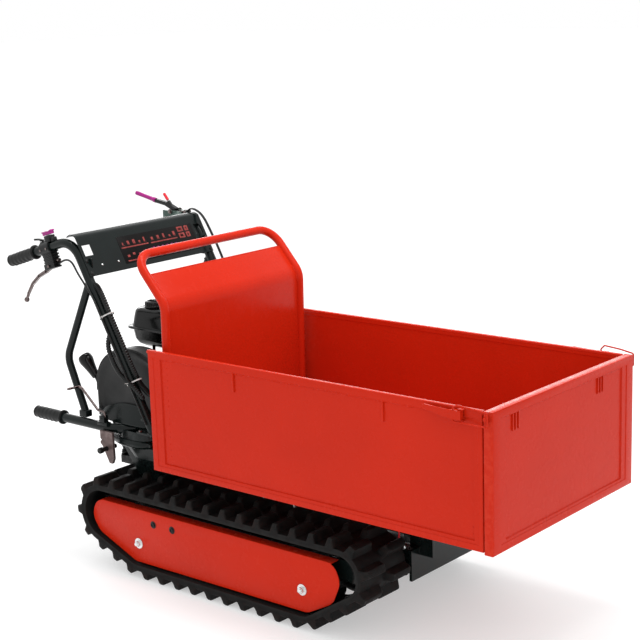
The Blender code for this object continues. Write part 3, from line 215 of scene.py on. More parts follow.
def tread_rubber():
    """Moulded track rubber: brownish dust on the flanks, pale scuffed edges, fine serrations near the rim.
    """
    recipe = Recipe("track_rubber")
    shader = recipe.shader
    dust = recipe.ranged(recipe.noise(38.0, 5.0, 0.65), 0.4, 0.66, 0.0, 1.0)
    flank = recipe.nodes.new("ShaderNodeAttribute")
    flank.attribute_name = "flank"
    brown = recipe.maths(dust, recipe.ranged(flank.outputs["Fac"], 0.0, 1.0, 0.25, 1.0))
    tone = recipe.mixed(brown, (0.0035, 0.0038, 0.0038), (0.016, 0.0105, 0.0095))
    pointiness = recipe.nodes.new("ShaderNodeNewGeometry").outputs["Pointiness"]
    edge = recipe.ranged(pointiness, 0.53, 0.64, 0.0, 0.75)
    tone = recipe.mixed(edge, tone, (0.032, 0.031, 0.029))
    recipe.links.new(tone, shader.inputs["Base Color"])
    shader.inputs["Specular IOR Level"].default_value = 0.12
    recipe.links.new(recipe.ranged(dust, 0.0, 1.0, 0.52, 0.78), shader.inputs["Roughness"])
    along = recipe.nodes.new("ShaderNodeAttribute")
    along.attribute_name = "along"
    rim = recipe.nodes.new("ShaderNodeAttribute")
    rim.attribute_name = "rim"
    lines = recipe.maths(recipe.maths(along.outputs["Fac"], 2 * math.pi / 0.003), 0.0, "SINE")
    ridges = recipe.maths(recipe.maths(lines, rim.outputs["Fac"]), 0.0003)
    pores = recipe.maths(recipe.noise(420.0, 3.0), 0.00025)
    return recipe.bumped(recipe.maths(ridges, pores, "ADD"))


# Red paint: its lighter edge colour is a painted highlight along the rounded edges, with a little edge
# wear.
RED = finish_material("red_paint", (0.535, 0.0195, 0.0052), 0.26, vary=0.05, patch=3.0,
    worn=(0.57, 0.034, 0.014), wear_and_sheen_from=0.58, grain=(420.0, 0.00003), wave=(3.5, 0.0005), specular=0.09)
BLACK = finish_material("powder_coat", (0.0042, 0.0074, 0.007), 0.21, vary=0.22,
    worn=(0.011, 0.014, 0.014), grain=(900.0, 0.00002), rough_vary=0.04, specular=0.22)
PLASTIC = finish_material("black_plastic", (0.0055, 0.0062, 0.0062), 0.36, vary=0.25,
    worn=(0.016, 0.017, 0.017), grain=(1300.0, 0.00005), specular=0.26)
COVER = finish_material("cover_plastic", (0.024, 0.024, 0.024), 0.42, vary=0.3, patch=12.0,
    second=(0.014, 0.0145, 0.0145), worn=(0.042, 0.042, 0.042), grain=(700.0, 0.00006))
GLOSS = finish_material("gloss_black", (0.0016, 0.0017, 0.0017), 0.15, vary=0.3, grain=(300.0, 0.00002),
    worn=(0.008, 0.008, 0.008), rough_vary=0.05, specular=0.26)
RUBBER = finish_material("grip_rubber", (0.0058, 0.006, 0.006), 0.48, vary=0.3,
    worn=(0.02, 0.02, 0.02), grain=(1100.0, 0.0001), specular=0.28)
TREAD = tread_rubber()
ZINC = finish_material("zinc_plate", (0.72, 0.74, 0.74), 0.27, 1.0, vary=0.16, patch=60.0,
    worn=(0.86, 0.86, 0.86), grain=(900.0, 0.00003))
STEEL = finish_material("bright_steel", (0.15, 0.118, 0.114), 0.2, 1.0, vary=0.14, patch=40.0,
    worn=(0.4, 0.36, 0.35), grain=(500.0, 0.00003), stretch=(1.0, 1.0, 0.12))
BROWN = finish_material("brown_steel", (0.12, 0.084, 0.08), 0.4, 0.5, vary=0.25, patch=22.0,
    worn=(0.34, 0.27, 0.26), grain=(500.0, 0.00005))
CAST = finish_material("cast_aluminium", (0.06, 0.061, 0.063), 0.48, 0.6, vary=0.2, patch=30.0,
    worn=(0.14, 0.14, 0.14), grain=(700.0, 0.00016))
IRON = finish_material("dark_iron", (0.022, 0.022, 0.023), 0.5, 0.6, vary=0.3, patch=30.0,
    worn=(0.085, 0.083, 0.08), grain=(600.0, 0.00012))
MAGENTA = finish_material("magenta_plastic", (0.3, 0.003, 0.165), 0.3, vary=0.1,
    worn=(0.5, 0.06, 0.32), grain=(900.0, 0.00004), coat=0.2)
SIGNAL = finish_material("signal_red_plastic", (0.66, 0.004, 0.02), 0.3, vary=0.08,
    worn=(0.8, 0.08, 0.08), grain=(900.0, 0.00003), coat=0.2)
GREENISH = finish_material("grey_green_coat", (0.06, 0.095, 0.082), 0.34, 0.45, vary=0.15, patch=30.0,
    worn=(0.2, 0.25, 0.23), grain=(700.0, 0.00004))
TIE = finish_material("pale_nylon", (0.46, 0.46, 0.45), 0.42, vary=0.12, worn=(0.65, 0.65, 0.64),
    grain=(900.0, 0.00003))
DECAL = finish_material("decal_black", (0.003, 0.0018, 0.0019), 0.34, vary=0.25, grain=(1200.0, 0.00001),
    specular=0.12)
MARKS = finish_material("decal_red", (0.3, 0.048, 0.042), 0.4, vary=0.35, patch=170.0,
    second=(0.14, 0.02, 0.018), grain=(1200.0, 0.00001))
VIOLET = finish_material("decal_violet", (0.26, 0.016, 0.16), 0.4, vary=0.25, patch=150.0,
    grain=(1200.0, 0.00001))


# ---- mesh tools ---------------------------------------------------------------------------
def rounded(points, radius, steps=8, closed=False):
    """The points of a path with each corner rounded to radius."""
    points = [Vector(p) for p in points]
    count = len(points)
    result = []
    for i, corner in enumerate(points):
        if not closed and i in (0, count - 1):
            result.append(corner)
            continue
        a = points[i - 1] - corner
        b = points[(i + 1) % count] - corner
        half = a.angle(b) / 2
        reach = min(radius / math.tan(half), 0.49 * a.length, 0.49 * b.length)
        centre = corner + (a.normalized() + b.normalized()).normalized() * (reach / math.cos(half))
        first = corner + a.normalized() * reach - centre
        last = corner + b.normalized() * reach - centre
        axis = first.cross(last).normalized()
        for k in range(steps + 1):
            result.append(centre + Matrix.Rotation(first.angle(last) * k / steps, 3, axis) @ first)
    return result


def smooth_route(points, count):
    """Points read from a smooth curve through a short list of places."""
    points = [Vector(p) for p in points]
    padded = [2 * points[0] - points[1]] + points + [2 * points[-1] - points[-2]]
    result = []
    spans = len(points) - 1
    for k in range(count):
        t = k * spans / (count - 1)
        i = min(int(t), spans - 1)
        t -= i
        a, b, c, d = padded[i:i + 4]
        result.append(0.5 * ((2 * b) + (c - a) * t + (2 * a - 5 * b + 4 * c - d) * t * t
            + (3 * b - a - 3 * c + d) * t ** 3))
    return result


def rounded_outline(corners, radius, steps):
    """A closed 2D outline with its corners rounded."""
    return [(p.x, p.y) for p in rounded([(x, z, 0.0) for x, z in corners], radius, steps, True)]


def subdivided(points, step):
    """The same path with a point at least every step metres."""
    result = [points[0]]
    for a, b in zip(points, points[1:]):
        parts = max(1, math.ceil((b - a).length / step))
        result += [a.lerp(b, k / parts) for k in range(1, parts + 1)]
    return result


def tangents(points, closed=False):
    """The direction of a path at each of its points."""
    count = len(points)
    result = []
    for i in range(count):
        before = points[i - 1] if closed or i > 0 else points[0]
        after = points[(i + 1) % count] if closed or i < count - 1 else points[-1]
        result.append((after - before).normalized())
    return result


def axes_across(direction):
    """Two unit vectors at right angles to direction."""
    direction = Vector(direction).normalized()
    side = direction.orthogonal().normalized()
    if abs(direction.y) < 0.99:
        side = Vector((0, 1, 0)).cross(direction).normalized()
    return side, direction.cross(side)


class Shape:
    """A mesh that grows one closed form at a time, in the frame's own metres."""

    def __init__(self):
        self.bm = bmesh.new()

    def skin(self, rings, paint=0, loop=False, caps=True):
        """Quads between rings of equal length, closed with a face at each end."""
        rows = [[self.bm.verts.new(p) for p in ring] for ring in rings]
        pairs = list(zip(rows, rows[1:])) + ([(rows[-1], rows[0])] if loop else [])
        faces = []
        for a, b in pairs:
            for i in range(len(a)):
                j = (i + 1) % len(a)
                faces.append(self.bm.faces.new((a[i], a[j], b[j], b[i])))
        if caps and not loop:
            faces.append(self.bm.faces.new(rows[0][::-1]))
            faces.append(self.bm.faces.new(rows[-1]))
        for face in faces:
            face.material_index = paint
        return rows

    def slab(self, low, high, rounding=0.0008, place=None, paint=0):
        """A box between two corners with its edges rounded, in an optional local frame."""
        low, high = Vector(low), Vector(high)
        made = bmesh.ops.create_cube(self.bm, size=1.0)["verts"]
        size = [abs(v) for v in (high - low)]
        bmesh.ops.scale(self.bm, vec=size, verts=made)
        bmesh.ops.translate(self.bm, vec=(low + high) / 2, verts=made)
        if place is not None:
            bmesh.ops.transform(self.bm, matrix=place, verts=made)
        edges = list({edge for vert in made for edge in vert.link_edges})
        faces = {face for vert in made for face in vert.link_faces}
        if rounding:
            rounding = min(rounding, 0.45 * min(size))
            done = bmesh.ops.bevel(self.bm, geom=edges, offset=rounding, segments=2, profile=0.6,
                affect="EDGES", clamp_overlap=True)
            faces = set(done["faces"]) | {f for f in faces if f.is_valid}
        for face in faces:
            face.material_index = paint

    def turned(self, profile, start, direction, sides=32, paint=0):
        """A turned solid: profile is (radius, height) pairs, with the end faces closed."""
        direction = Vector(direction).normalized()
        u, v = axes_across(direction)
        rings = []
        for radius, height in profile:
            centre = Vector(start) + direction * height
            ring = []
            for k in range(sides):
                angle = 2 * math.pi * k / sides
                ring.append(centre + (u * math.cos(angle) + v * math.sin(angle)) * max(radius, 0.00002))
            rings.append(ring)
        self.skin(rings, paint)

    def rod(self, start, end, radius, sides=24, edge=0.0006, paint=0):
        """A round bar with eased ends."""
        start, end = Vector(start), Vector(end)
        length = (end - start).length
        edge = min(edge, 0.4 * radius, 0.4 * length)
        profile = [(radius - edge, 0.0), (radius, edge), (radius, length - edge), (radius - edge, length)]
        self.turned(profile, start, end - start, sides, paint)

    def tube(self, points, radius, sides=20, closed=False, paint=0, dome=False):
        """A round tube along points; radius is a number or one number for each point."""
        radii = radius if isinstance(radius, (list, tuple)) else [radius] * len(points)
        along = tangents(points, closed)
        side = axes_across(along[0])[0]
        rings = []
        for point, r, run, previous in zip(points, radii, along, [along[0]] + along[:-1]):
            side = previous.rotation_difference(run) @ side
            side = (side - run * side.dot(run)).normalized()
            other = run.cross(side)
            rings.append([point + (side * math.cos(2 * math.pi * k / sides)
                + other * math.sin(2 * math.pi * k / sides)) * r for k in range(sides)])
        if dome:
            rings = [self.shrunk(rings[0], points[0], along[0], s, radii[0]) for s in (-0.95, -0.6)] + rings
            rings += [self.shrunk(rings[-1], points[-1], along[-1], s, radii[-1]) for s in (0.6, 0.95)]
        self.skin(rings, paint, loop=closed)

    @staticmethod
    def shrunk(ring, centre, run, share, radius):
        """A smaller ring past a tube's end, part of its domed cap."""
        scale = math.sqrt(1 - share * share)
        return [centre + (p - centre) * scale + run * (share * radius) for p in ring]

    def along(self, points, outline, across=(0, 1, 0), paint=0):
        """A bar whose section is outline(share of the length): (a, b) pairs, a along the across axis."""
        runs = tangents(points)
        count = len(points)
        rings = []
        for i, (point, run) in enumerate(zip(points, runs)):
            side = Vector(across)
            side = (side - run * side.dot(run)).normalized()
            normal = run.cross(side)
            rings.append([point + side * a + normal * b for a, b in outline(i / (count - 1))])
        self.skin(rings, paint)

    def plate(self, outline, thickness, place, rounding=0.0006, paint=0):
        """A flat plate with eased edges; outline is 2D points in the frame place."""
        points = [Vector((p[0], p[1])) for p in outline]
        area = sum(a.x * b.y - b.x * a.y for a, b in zip(points, points[1:] + points[:1]))
        if area < 0:
            points.reverse()
        inward = []
        for i, point in enumerate(points):
            a = (point - points[i - 1]).normalized()
            b = (points[(i + 1) % len(points)] - point).normalized()
            normal = (Vector((-a.y, a.x)) + Vector((-b.y, b.x)))
            inward.append(normal.normalized() / max(0.5, normal.length / 2))
        half = thickness / 2
        rings = []
        for inset, level in ((rounding, -half), (0.3 * rounding, -half + 0.3 * rounding),
                (0.0, -half + rounding), (0.0, half - rounding), (0.3 * rounding, half - 0.3 * rounding),
                (rounding, half)):
            rings.append([place @ Vector((*(p + n * inset), level)) for p, n in zip(points, inward)])
        self.skin(rings, paint)

    def hex_bolt(self, spot, direction, across=0.0085, height=0.0065, washer=0.0, thread=0.0, paint=0):
        """A hexagon head or nut with a chamfer, on a washer, with a thread end through it."""
        spot, direction = Vector(spot), Vector(direction).normalized()
        level = 0.0
        if washer:
            level = 0.0018
            rim = [(washer - 0.0004, 0.0), (washer, 0.0004), (washer, level - 0.0004),
                (washer - 0.0004, level)]
            self.turned(rim, spot, direction, 32, paint)
        start = spot + direction * level
        profile = [(across, 0.0), (across, height * 0.78), (across * 0.86, height)]
        self.turned(profile, start, direction, 6, paint)
        self.turned([(across * 0.86, 0.0), (across * 0.8, 0.0004)], start + direction * height,
            direction, 24, paint)
        if thread:
            radius = across * 0.52
            profile = []
            turns = max(2, round(thread / 0.0012))
            for k in range(turns):
                base = height * 0.9 + thread * k / turns
                profile += [(radius * 0.88, base), (radius, base + 0.5 * thread / turns)]
            profile.append((radius * 0.75, height * 0.9 + thread))
            self.turned(profile, start, direction, 20, paint)

    def bead(self, points, radius, step=0.006, paint=0):
        """A weld bead: a tube whose width ripples along its run."""
        points = subdivided([Vector(p) for p in points], step / 3)
        radii = [radius * (1.0 + 0.16 * math.sin(i * 2.1) + 0.1 * math.sin(i * 0.9))
            for i in range(len(points))]
        self.tube(points, radii, 10, paint=paint, dome=True)


def placed(axes, origin):
    """A frame with the given X, Y and Z axes at origin."""
    place = Matrix.Identity(4)
    for column, axis in enumerate(axes):
        place.col[column][:3] = axis
    place.translation = origin
    return place


def side_plane(y):
    """A plane standing along X and Z: 2D (u, v) is (x, z) from the skip's rear edge."""
    return placed(((1, 0, 0), (0, 0, 1), (0, -1, 0)), at(0, y, 0))


def add(name, shape, paints, body, stands_for=(), crease=38.0, bevel=0.0):
    """Makes the shape a piece that rides on a body and the nodes it stands for."""
    bmesh.ops.recalc_face_normals(shape.bm, faces=shape.bm.faces)
    mesh = bpy.data.meshes.new(name)
    shape.bm.to_mesh(mesh)
    shape.bm.free()
    mesh.shade_smooth()
    mesh.set_sharp_from_angle(angle=math.radians(crease))
    obj = bpy.data.objects.new(name, mesh)
    bpy.context.scene.collection.objects.link(obj)
    for material in paints if isinstance(paints, (list, tuple)) else (paints,):
        mesh.materials.append(material)
    if bevel:
        round_edges(obj, bevel)
    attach(obj, body)
    if stands_for:
        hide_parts(*stands_for)
    return obj


def stand_in(node, suffix, shape, paints, crease=38.0):
    """A piece that stands for one CAD node, in that node's body."""
    return add(f"{node}_{suffix}", shape, paints, BODY_OF[node], (node,), crease)


def round_edges(obj, width, segments=2, angle=32.0):
    """A bevel on every edge sharper than angle."""
    modifier = obj.modifiers.new("rounded", "BEVEL")
    modifier.width = width
    modifier.segments = segments
    modifier.limit_method = "ANGLE"
    modifier.angle_limit = math.radians(angle)
    modifier.use_clamp_overlap = True
    modifier.harden_normals = True


def refined(node, paints, width=0.0009, choose=None):
    """A copy of a CAD node with its facets merged and its edges rounded, in its place."""
    shape = Shape()
    shape.bm.from_mesh(frame["nodes"][node].data)
    bmesh.ops.transform(shape.bm, matrix=frame["nodes"][node].matrix_world, verts=shape.bm.verts)
    bmesh.ops.remove_doubles(shape.bm, verts=shape.bm.verts, dist=0.00001)
    bmesh.ops.dissolve_limit(shape.bm, angle_limit=math.radians(1.0), verts=shape.bm.verts,
        edges=shape.bm.edges)
    for face in shape.bm.faces:
        face.material_index = choose(face.calc_center_median()) if choose else 0
    return add(node + "_finish", shape, paints, BODY_OF[node], (node,), 32.0, width)


def repaint(node, material):
    """Gives a carried-over CAD node a new material."""
    for holder in frame["nodes"][node].material_slots:
        holder.material = material


# ---- tracks --------------------------------------------------------------------------------
def loop_around(wheels, spread):
    """Arc-length sampled outline around wheels grown by spread: returns f(s), its length."""
    pieces = []
    count = len(wheels)
    angles = []
    for i in range(count):
        ax, az, ar = wheels[i]
        bx, bz, br = wheels[(i + 1) % count]
        run = Vector((bx - ax, bz - az))
        angles.append(math.atan2(run.y, run.x) - math.acos((ar - br) / run.length))
    for i in range(count):
        x, z, r = wheels[i]
        r += spread
        start, end = angles[i - 1], angles[i]
        while end < start:
            end += 2 * math.pi
        pieces.append(("arc", Vector((x, z)), r, start, end, r * (end - start)))
        nx, nz, nr = wheels[(i + 1) % count]
        normal = Vector((math.cos(end), math.sin(end)))
        a, b = Vector((x, z)) + normal * r, Vector((nx, nz)) + normal * (nr + spread)
        pieces.append(("line", a, b, end, None, (b - a).length))
    total = sum(piece[-1] for piece in pieces)

    def sample(s):
        s = s % total
        for kind, a, b, c, d, length in pieces:
            if s > length:
                s -= length
                continue
            angle = c if kind == "line" else c + (d - c) * s / length
            normal = Vector((math.cos(angle), math.sin(angle)))
            return (a.lerp(b, s / length) if kind == "line" else a + normal * b), normal
        return sample(0.0)

    return sample, total


TREAD_STATIONS = (0.0, 0.035, 0.085, 0.112, 0.13, 0.165, 0.21, 0.25, 0.29, 0.335, 0.37, 0.388, 0.415,
    0.465)
TREAD_COLUMNS = (TRACK_W / 2, 0.0893, 0.0875, 0.084, 0.076, 0.064, 0.046, 0.028, 0.0175, 0.0145,
    0.01, 0.005)


def lug_height(phase, offset):
    """Share of the lug's full height at a place: phase along the pitch, offset across the belt."""
    centre = 0.25 if offset < 0 else 0.75
    reach = abs(offset)
    ends = min(1.0, max(0.0, (reach - 0.005) / 0.0105)) * min(1.0, max(0.0, (0.0915 - reach) / 0.005))
    waist = 0.13 - 0.012 * min(1.0, max(0.0, (reach - 0.03) / 0.05))
    flank = (0.236 - abs(phase - centre)) / (0.236 - waist)
    rise = min(1.0, max(0.0, flank))
    bow = (abs(phase - centre) / waist) ** 4 if rise >= 1.0 else 1.0
    return rise * (1.0 - LUG_CROWN * bow) * ends


def track(side):
    """The rubber belt with its two staggered rows of trapezoid lugs and its guide teeth inside."""
    sample, length = loop_around(WHEELS, BELT_T)
    links = round(length / TRACK_PITCH)
    stations = TREAD_STATIONS + tuple(0.5 + s for s in TREAD_STATIONS)
    columns = [-c for c in TREAD_COLUMNS] + [0.0] + list(reversed(TREAD_COLUMNS))
    shape = Shape()
    rings, marks = [], []
    for i in range(links):
        for phase in stations:
            s = (i + phase) * length / links
            point, normal = sample(s)
            ring = []
            for offset in columns:
                share = lug_height(phase, offset)
                out = point + normal * (LUG_H * share - (0.001 if abs(offset) > 0.0895 else 0.0))
                ring.append(at(out.x, side * (TRACK_Y - offset), out.y))
                slope = 1.0 if 0.04 < share < 0.93 else 0.25
                rim = 1.0 if share > 0.6 and offset < -0.06 else 0.0
                marks.append((s, slope, rim))
            for offset, depth in ((TRACK_W / 2, 0.45), (0.0885, 1.0), (0.03, 1.0), (-0.03, 1.0),
                    (-0.0885, 1.0), (-TRACK_W / 2, 0.45)):
                inside = point - normal * (BELT_T * depth)
                ring.append(at(inside.x, side * (TRACK_Y - offset), inside.y))
                marks.append((s, 0.0, 0.0))
            rings.append(ring)
    shape.skin(rings, loop=True)
    obj = add(sided("track", side) + "_tread", shape, TREAD, "chassis",
        (sided("track", side),), 30.0)
    for k, name in enumerate(("along", "flank", "rim")):
        layer = obj.data.attributes.new(name, "FLOAT", "POINT")
        layer.data.foreach_set("value", [mark[k] for mark in marks])


def cover_outline(steps=10):
    """The side cover's outline, in x and z."""
    corners = [(-0.252, -0.132), (-0.276, -0.185), (-0.245, -0.228), (-0.105, -0.286), (0.52, -0.284),
        (0.604, -0.24), (0.63, -0.18), (0.611, -0.132)]
    return rounded_outline(corners, 0.045, steps)


def side_cover(side):
    """Pressed cover with a soft fold along its top and a flange turned in towards the beam."""
    shape = Shape()
    shape.plate(cover_outline(), 0.003, side_plane(side * (COVER_Y - 0.0015)), 0.0012)
    fold = []
    for k in range(7):
        angle = math.pi / 2 * k / 6
        fold.append((side * (COVER_Y - 0.004 + 0.004 * math.cos(angle)),
            -0.136 + 0.004 * math.sin(angle)))
    outer = fold + [(side * COVER_BACK_Y, -0.132)]
    inner = [(side * COVER_BACK_Y, -0.135), (side * (COVER_Y - 0.0035), -0.135),
        (side * (COVER_Y - 0.003), -0.1375)]
    shape.skin([[at(x, y, z) for y, z in outer + inner] for x in (-0.234, -0.232, 0.599, 0.601)])
    name = sided("side_cover", side)
    stand_in(name, "sheet", shape, RED, 40.0)

    bolts = Shape()
    strap = COVER_Y - 0.0033
    bolts.slab(at(-0.1, side * (strap - 0.003), -0.243), at(0.517, side * strap, -0.229), 0.0006, paint=1)
    bolts.slab(at(-0.036, side * (strap - 0.003), -0.235), at(0.054, side * strap, -0.158), 0.0006, paint=1)
    for x, z in BOLT_SPOTS:
        bolts.rod(at(x, side * 0.2743, z), at(x, side * (strap - 0.0031), z), 0.011, 24, paint=1)
        bolts.hex_bolt(at(x, side * COVER_Y, z + (0.011 if x > 0.2 else 0.005)), (0, side, 0), 0.0086,
            0.007, 0.015, 0.006)
    for x, z in STUD_SPOTS:
        bolts.turned([(0.0105, 0.0), (0.0105, 0.0004), (0.0096, 0.001)], at(x, side * COVER_Y, z),
            (0, side, 0), 28, paint=2)
        head = [(0.007, 0.0), (0.007, 0.0026), (0.006, 0.0033), (0.0036, 0.0033), (0.0033, 0.0014),
            (0.0, 0.0013)]
        bolts.turned(head, at(x, side * (COVER_Y + 0.0009), z), (0, side, 0), 24, paint=2)
    name = sided("cover_bolts", side)
    stand_in(name, "hardware", bolts, (ZINC, BLACK, PLASTIC), 35.0)


# ---- skip -----------------------------------------------------------------------------------
def framed(shape, place, width, height, front, back, paint=0):
    """A folded sheet panel: rings of (left, right, low, high, depth) run from back to front field."""
    rings = []
    for left, right, low, high, depth in back[::-1] + front:
        rings.append([place(left, low, depth), place(width - right, low, depth),
            place(width - right, height - high, depth), place(left, height - high, depth)])
    shape.skin(rings, paint)


def eased(radius, depth, top=None):
    """Rings that round a panel's outer edge, from its side onto its face at depth 0, and onto its back."""
    top = top or radius
    steps = [(1 - math.cos(math.pi / 6 * k), 1 - math.sin(math.pi / 6 * k)) for k in range(4)]
    front = [(radius * a, radius * a, radius * a, top * a, radius * b) for a, b in steps]
    back = [(r[0], r[1], r[2], r[3], depth - r[4]) for r in front]
    return front, back


def weld_dots(shape, start, end, pitch, radius, out):
    """A row of short weld tacks between two points, raised along out."""
    start, end, out = Vector(start), Vector(end), Vector(out).normalized()
    run = end - start
    count = round(run.length / pitch)
    for i in range(count):
        share = (i + 0.5 + 0.12 * math.sin(i * 2.7)) / count
        half = radius * (2.2 + 0.8 * math.sin(i * 1.7))
        middle = start + run * share
        ends = [middle - run.normalized() * half, middle + run.normalized() * half]
        path = [ends[0], middle + out * radius * 0.2, ends[1]]
        shape.tube(path, [radius * 0.5, radius, radius * 0.5], 8, dome=True)


def side_panel(side):
    """Side wall: double-stepped folded border, rolled top rim, ribs, tacks, slide bars and latch tabs."""
    outer = side * SKIP_WIDTH / 2
    inner = side * (SKIP_WIDTH / 2 - PANEL_T)
    shape = Shape()

    def place(u, v, depth):
        return at(u, outer - side * depth, v)

    front, back = eased(0.0025, PANEL_T)
    front += [(0.019, 0.012, 0.015, 0.018, 0.0), (0.02, 0.013, 0.016, 0.019, 0.0013),
        (0.044, 0.0235, 0.0235, 0.0205, 0.0013), (0.0455, 0.0255, 0.0255, 0.0235, 0.005)]
    back.append((0.004, 0.004, 0.004, 0.015, PANEL_T))
    back.append((0.005, 0.005, 0.005, 0.0165, PANEL_T - 0.001))
    framed(shape, place, SKIP_LENGTH, SKIP_HEIGHT, front, back)
    rim_r = 0.0061
    rim = [at(x, outer - side * (rim_r + 0.0001), SKIP_HEIGHT - rim_r + 0.0002)
        for x in (-0.001, 0.5, SKIP_LENGTH - 0.003)]
    shape.tube(rim, rim_r, 20, dome=True)
    for x in (0.305, 0.781):
        shape.slab(at(x - 0.003, outer - side * 0.008, 0.262), at(x + 0.003, outer - side * 0.0006,
            SKIP_HEIGHT - 0.017), 0.0014)
    for x in SLIDE_BAR_X:
        shape.slab(at(x - 0.009, side * 0.02, 0.008), at(x + 0.009, inner + side * 0.002, 0.026),
            0.0012)
    for z in (LATCH_Z - 0.014, LATCH_Z + 0.011):
        shape.slab(at(LATCH_X - 0.007, outer - side * 0.001, z), at(LATCH_X + 0.007,
            side * (LATCH_Y + 0.0035), z + 0.003))
    shape.rod(at(LATCH_X, side * LATCH_Y, LATCH_Z - 0.012), at(LATCH_X, side * LATCH_Y,
        LATCH_Z + 0.013), 0.0022, 16)
    weld_dots(shape, place(0.0655, 0.04, 0.005), place(0.0655, 0.298, 0.005), 0.0175, 0.0009,
        (0, side, 0))
    weld_dots(shape, place(0.048, 0.04, 0.005), place(0.048, 0.298, 0.005), 0.031, 0.0008,
        (0, side, 0))
    weld_dots(shape, place(1.03, 0.03, 0.005), place(1.03, 0.062, 0.005), 0.016, 0.0009,
        (0, side, 0))
    name = sided("side_panel", side)
    stand_in(name, "sheet", shape, RED, 30.0)


def front_gate():
    """Drop gate: bordered both sides, short ribs, rounded rim, hinge knuckles with pins, latch catches."""
    half = SKIP_WIDTH / 2
    x1 = GATE_X + GATE_T
    height = SKIP_HEIGHT - GATE_LOW
    shape = Shape()

    def place(u, v, depth):
        return at(x1 - depth, u - half, GATE_LOW + v)

    front, back = eased(0.0028, GATE_T, 0.0036)
    front += [(0.032, 0.032, 0.019, 0.019, 0.0), (0.0332, 0.0332, 0.02, 0.0205, 0.0016),
        (0.053, 0.053, 0.0255, 0.0215, 0.0016), (0.055, 0.055, 0.0275, 0.024, 0.005)]
    back += [(0.022, 0.022, 0.024, 0.022, GATE_T), (0.0232, 0.0232, 0.0252, 0.0232, 0.009)]
    framed(shape, place, SKIP_WIDTH, height, front, back)
    for y in (-0.232, -0.22, -0.208, 0.146, 0.158, 0.17):
        shape.slab(at(x1 - 0.007, y - 0.0018, 0.27), at(x1 - 0.0012, y + 0.0018, SKIP_HEIGHT - 0.018),
            0.001)
    for side in SIDES:
        for y in (0.164, 0.2146):
            shape.rod(at(GATE_AXIS[0], side * y, GATE_AXIS[1]), at(GATE_AXIS[0], side * (y + 0.0204),
                GATE_AXIS[1]), 0.0065, 28)
        shape.rod(at(GATE_AXIS[0], side * 0.159, GATE_AXIS[1]), at(GATE_AXIS[0], side * 0.237,
            GATE_AXIS[1]), 0.0029, 20, paint=1)
        shape.slab(at(1.07, side * (half - 0.002), LATCH_Z - 0.009), at(1.0785, side * 0.3252,
            LATCH_Z + 0.009), 0.0012)
        shape.turned([(0.0052, 0.0), (0.0052, 0.002), (0.004, 0.003)],
            at(1.0742, side * 0.3248, LATCH_Z), (0, side, 0), 20)
    weld_dots(shape, place(half * 2 - 0.057, 0.04, 0.005), place(half * 2 - 0.057, 0.3, 0.005),
        0.04, 0.0011, (1, 0, 0))
    weld_dots(shape, place(0.057, 0.032, 0.005), place(0.057, 0.052, 0.005), 0.01, 0.001, (1, 0, 0))
    stand_in("front_gate", "sheet", shape, (RED, ZINC), 30.0)


def headboard():
    """Rear board: tube hoop with a bent sheet welded inside it, beads down both seams."""
    y, foot_z, radius = 0.272, 0.0333, 0.012
    bend, top = Vector((0.03, 0.448)), Vector((-0.076, 0.57))
    hoop = [at(0.024, -y, foot_z), at(bend.x, -y, bend.y), at(top.x, -y, top.y), at(top.x, y, top.y),
        at(bend.x, y, bend.y), at(0.024, y, foot_z)]
    shape = Shape()
    shape.tube(rounded(hoop, 0.055, 10), radius, 28)
    edge = bend.lerp(top, 0.6)
    profile = rounded([(0.024, foot_z, 0), (bend.x, bend.y, 0), (edge.x, edge.y, 0)], 0.06, 10)
    middle = [at(p.x, 0, p.y) for p in profile]
    half = y - 0.0008
    corners = [(-half, -0.0012), (-half, 0.0012), (-half + 0.0008, 0.0015), (half - 0.0008, 0.0015),
        (half, 0.0012), (half, -0.0012), (half - 0.0008, -0.0015), (-half + 0.0008, -0.0015)]
    shape.along(middle, lambda share: corners)
    lip = at(edge.x, 0, edge.y)
    shape.tube([lip + Vector((0, s * (y - radius - 0.001), 0)) for s in SIDES], 0.0022, 10, dome=True)
    for side in SIDES:
        for start, stop in ((0.05, 0.46), (0.56, 0.88)):
            first, last = round(start * (len(middle) - 1)), round(stop * (len(middle) - 1))
            run = smooth_route(middle[first:last + 1], 14)
            shape.bead([p + Vector((0.0016, side * (y - radius - 0.0006), 0.0006)) for p in run], 0.0022)
    for side in SIDES:
        shape.turned([(0.0165, 0.0), (0.0165, 0.0012), (0.012, 0.003)], at(0.024, side * y, 0.0333),
            (0, 0, 1), 28)
    stand_in("headboard", "sheet", shape, RED, 34.0)


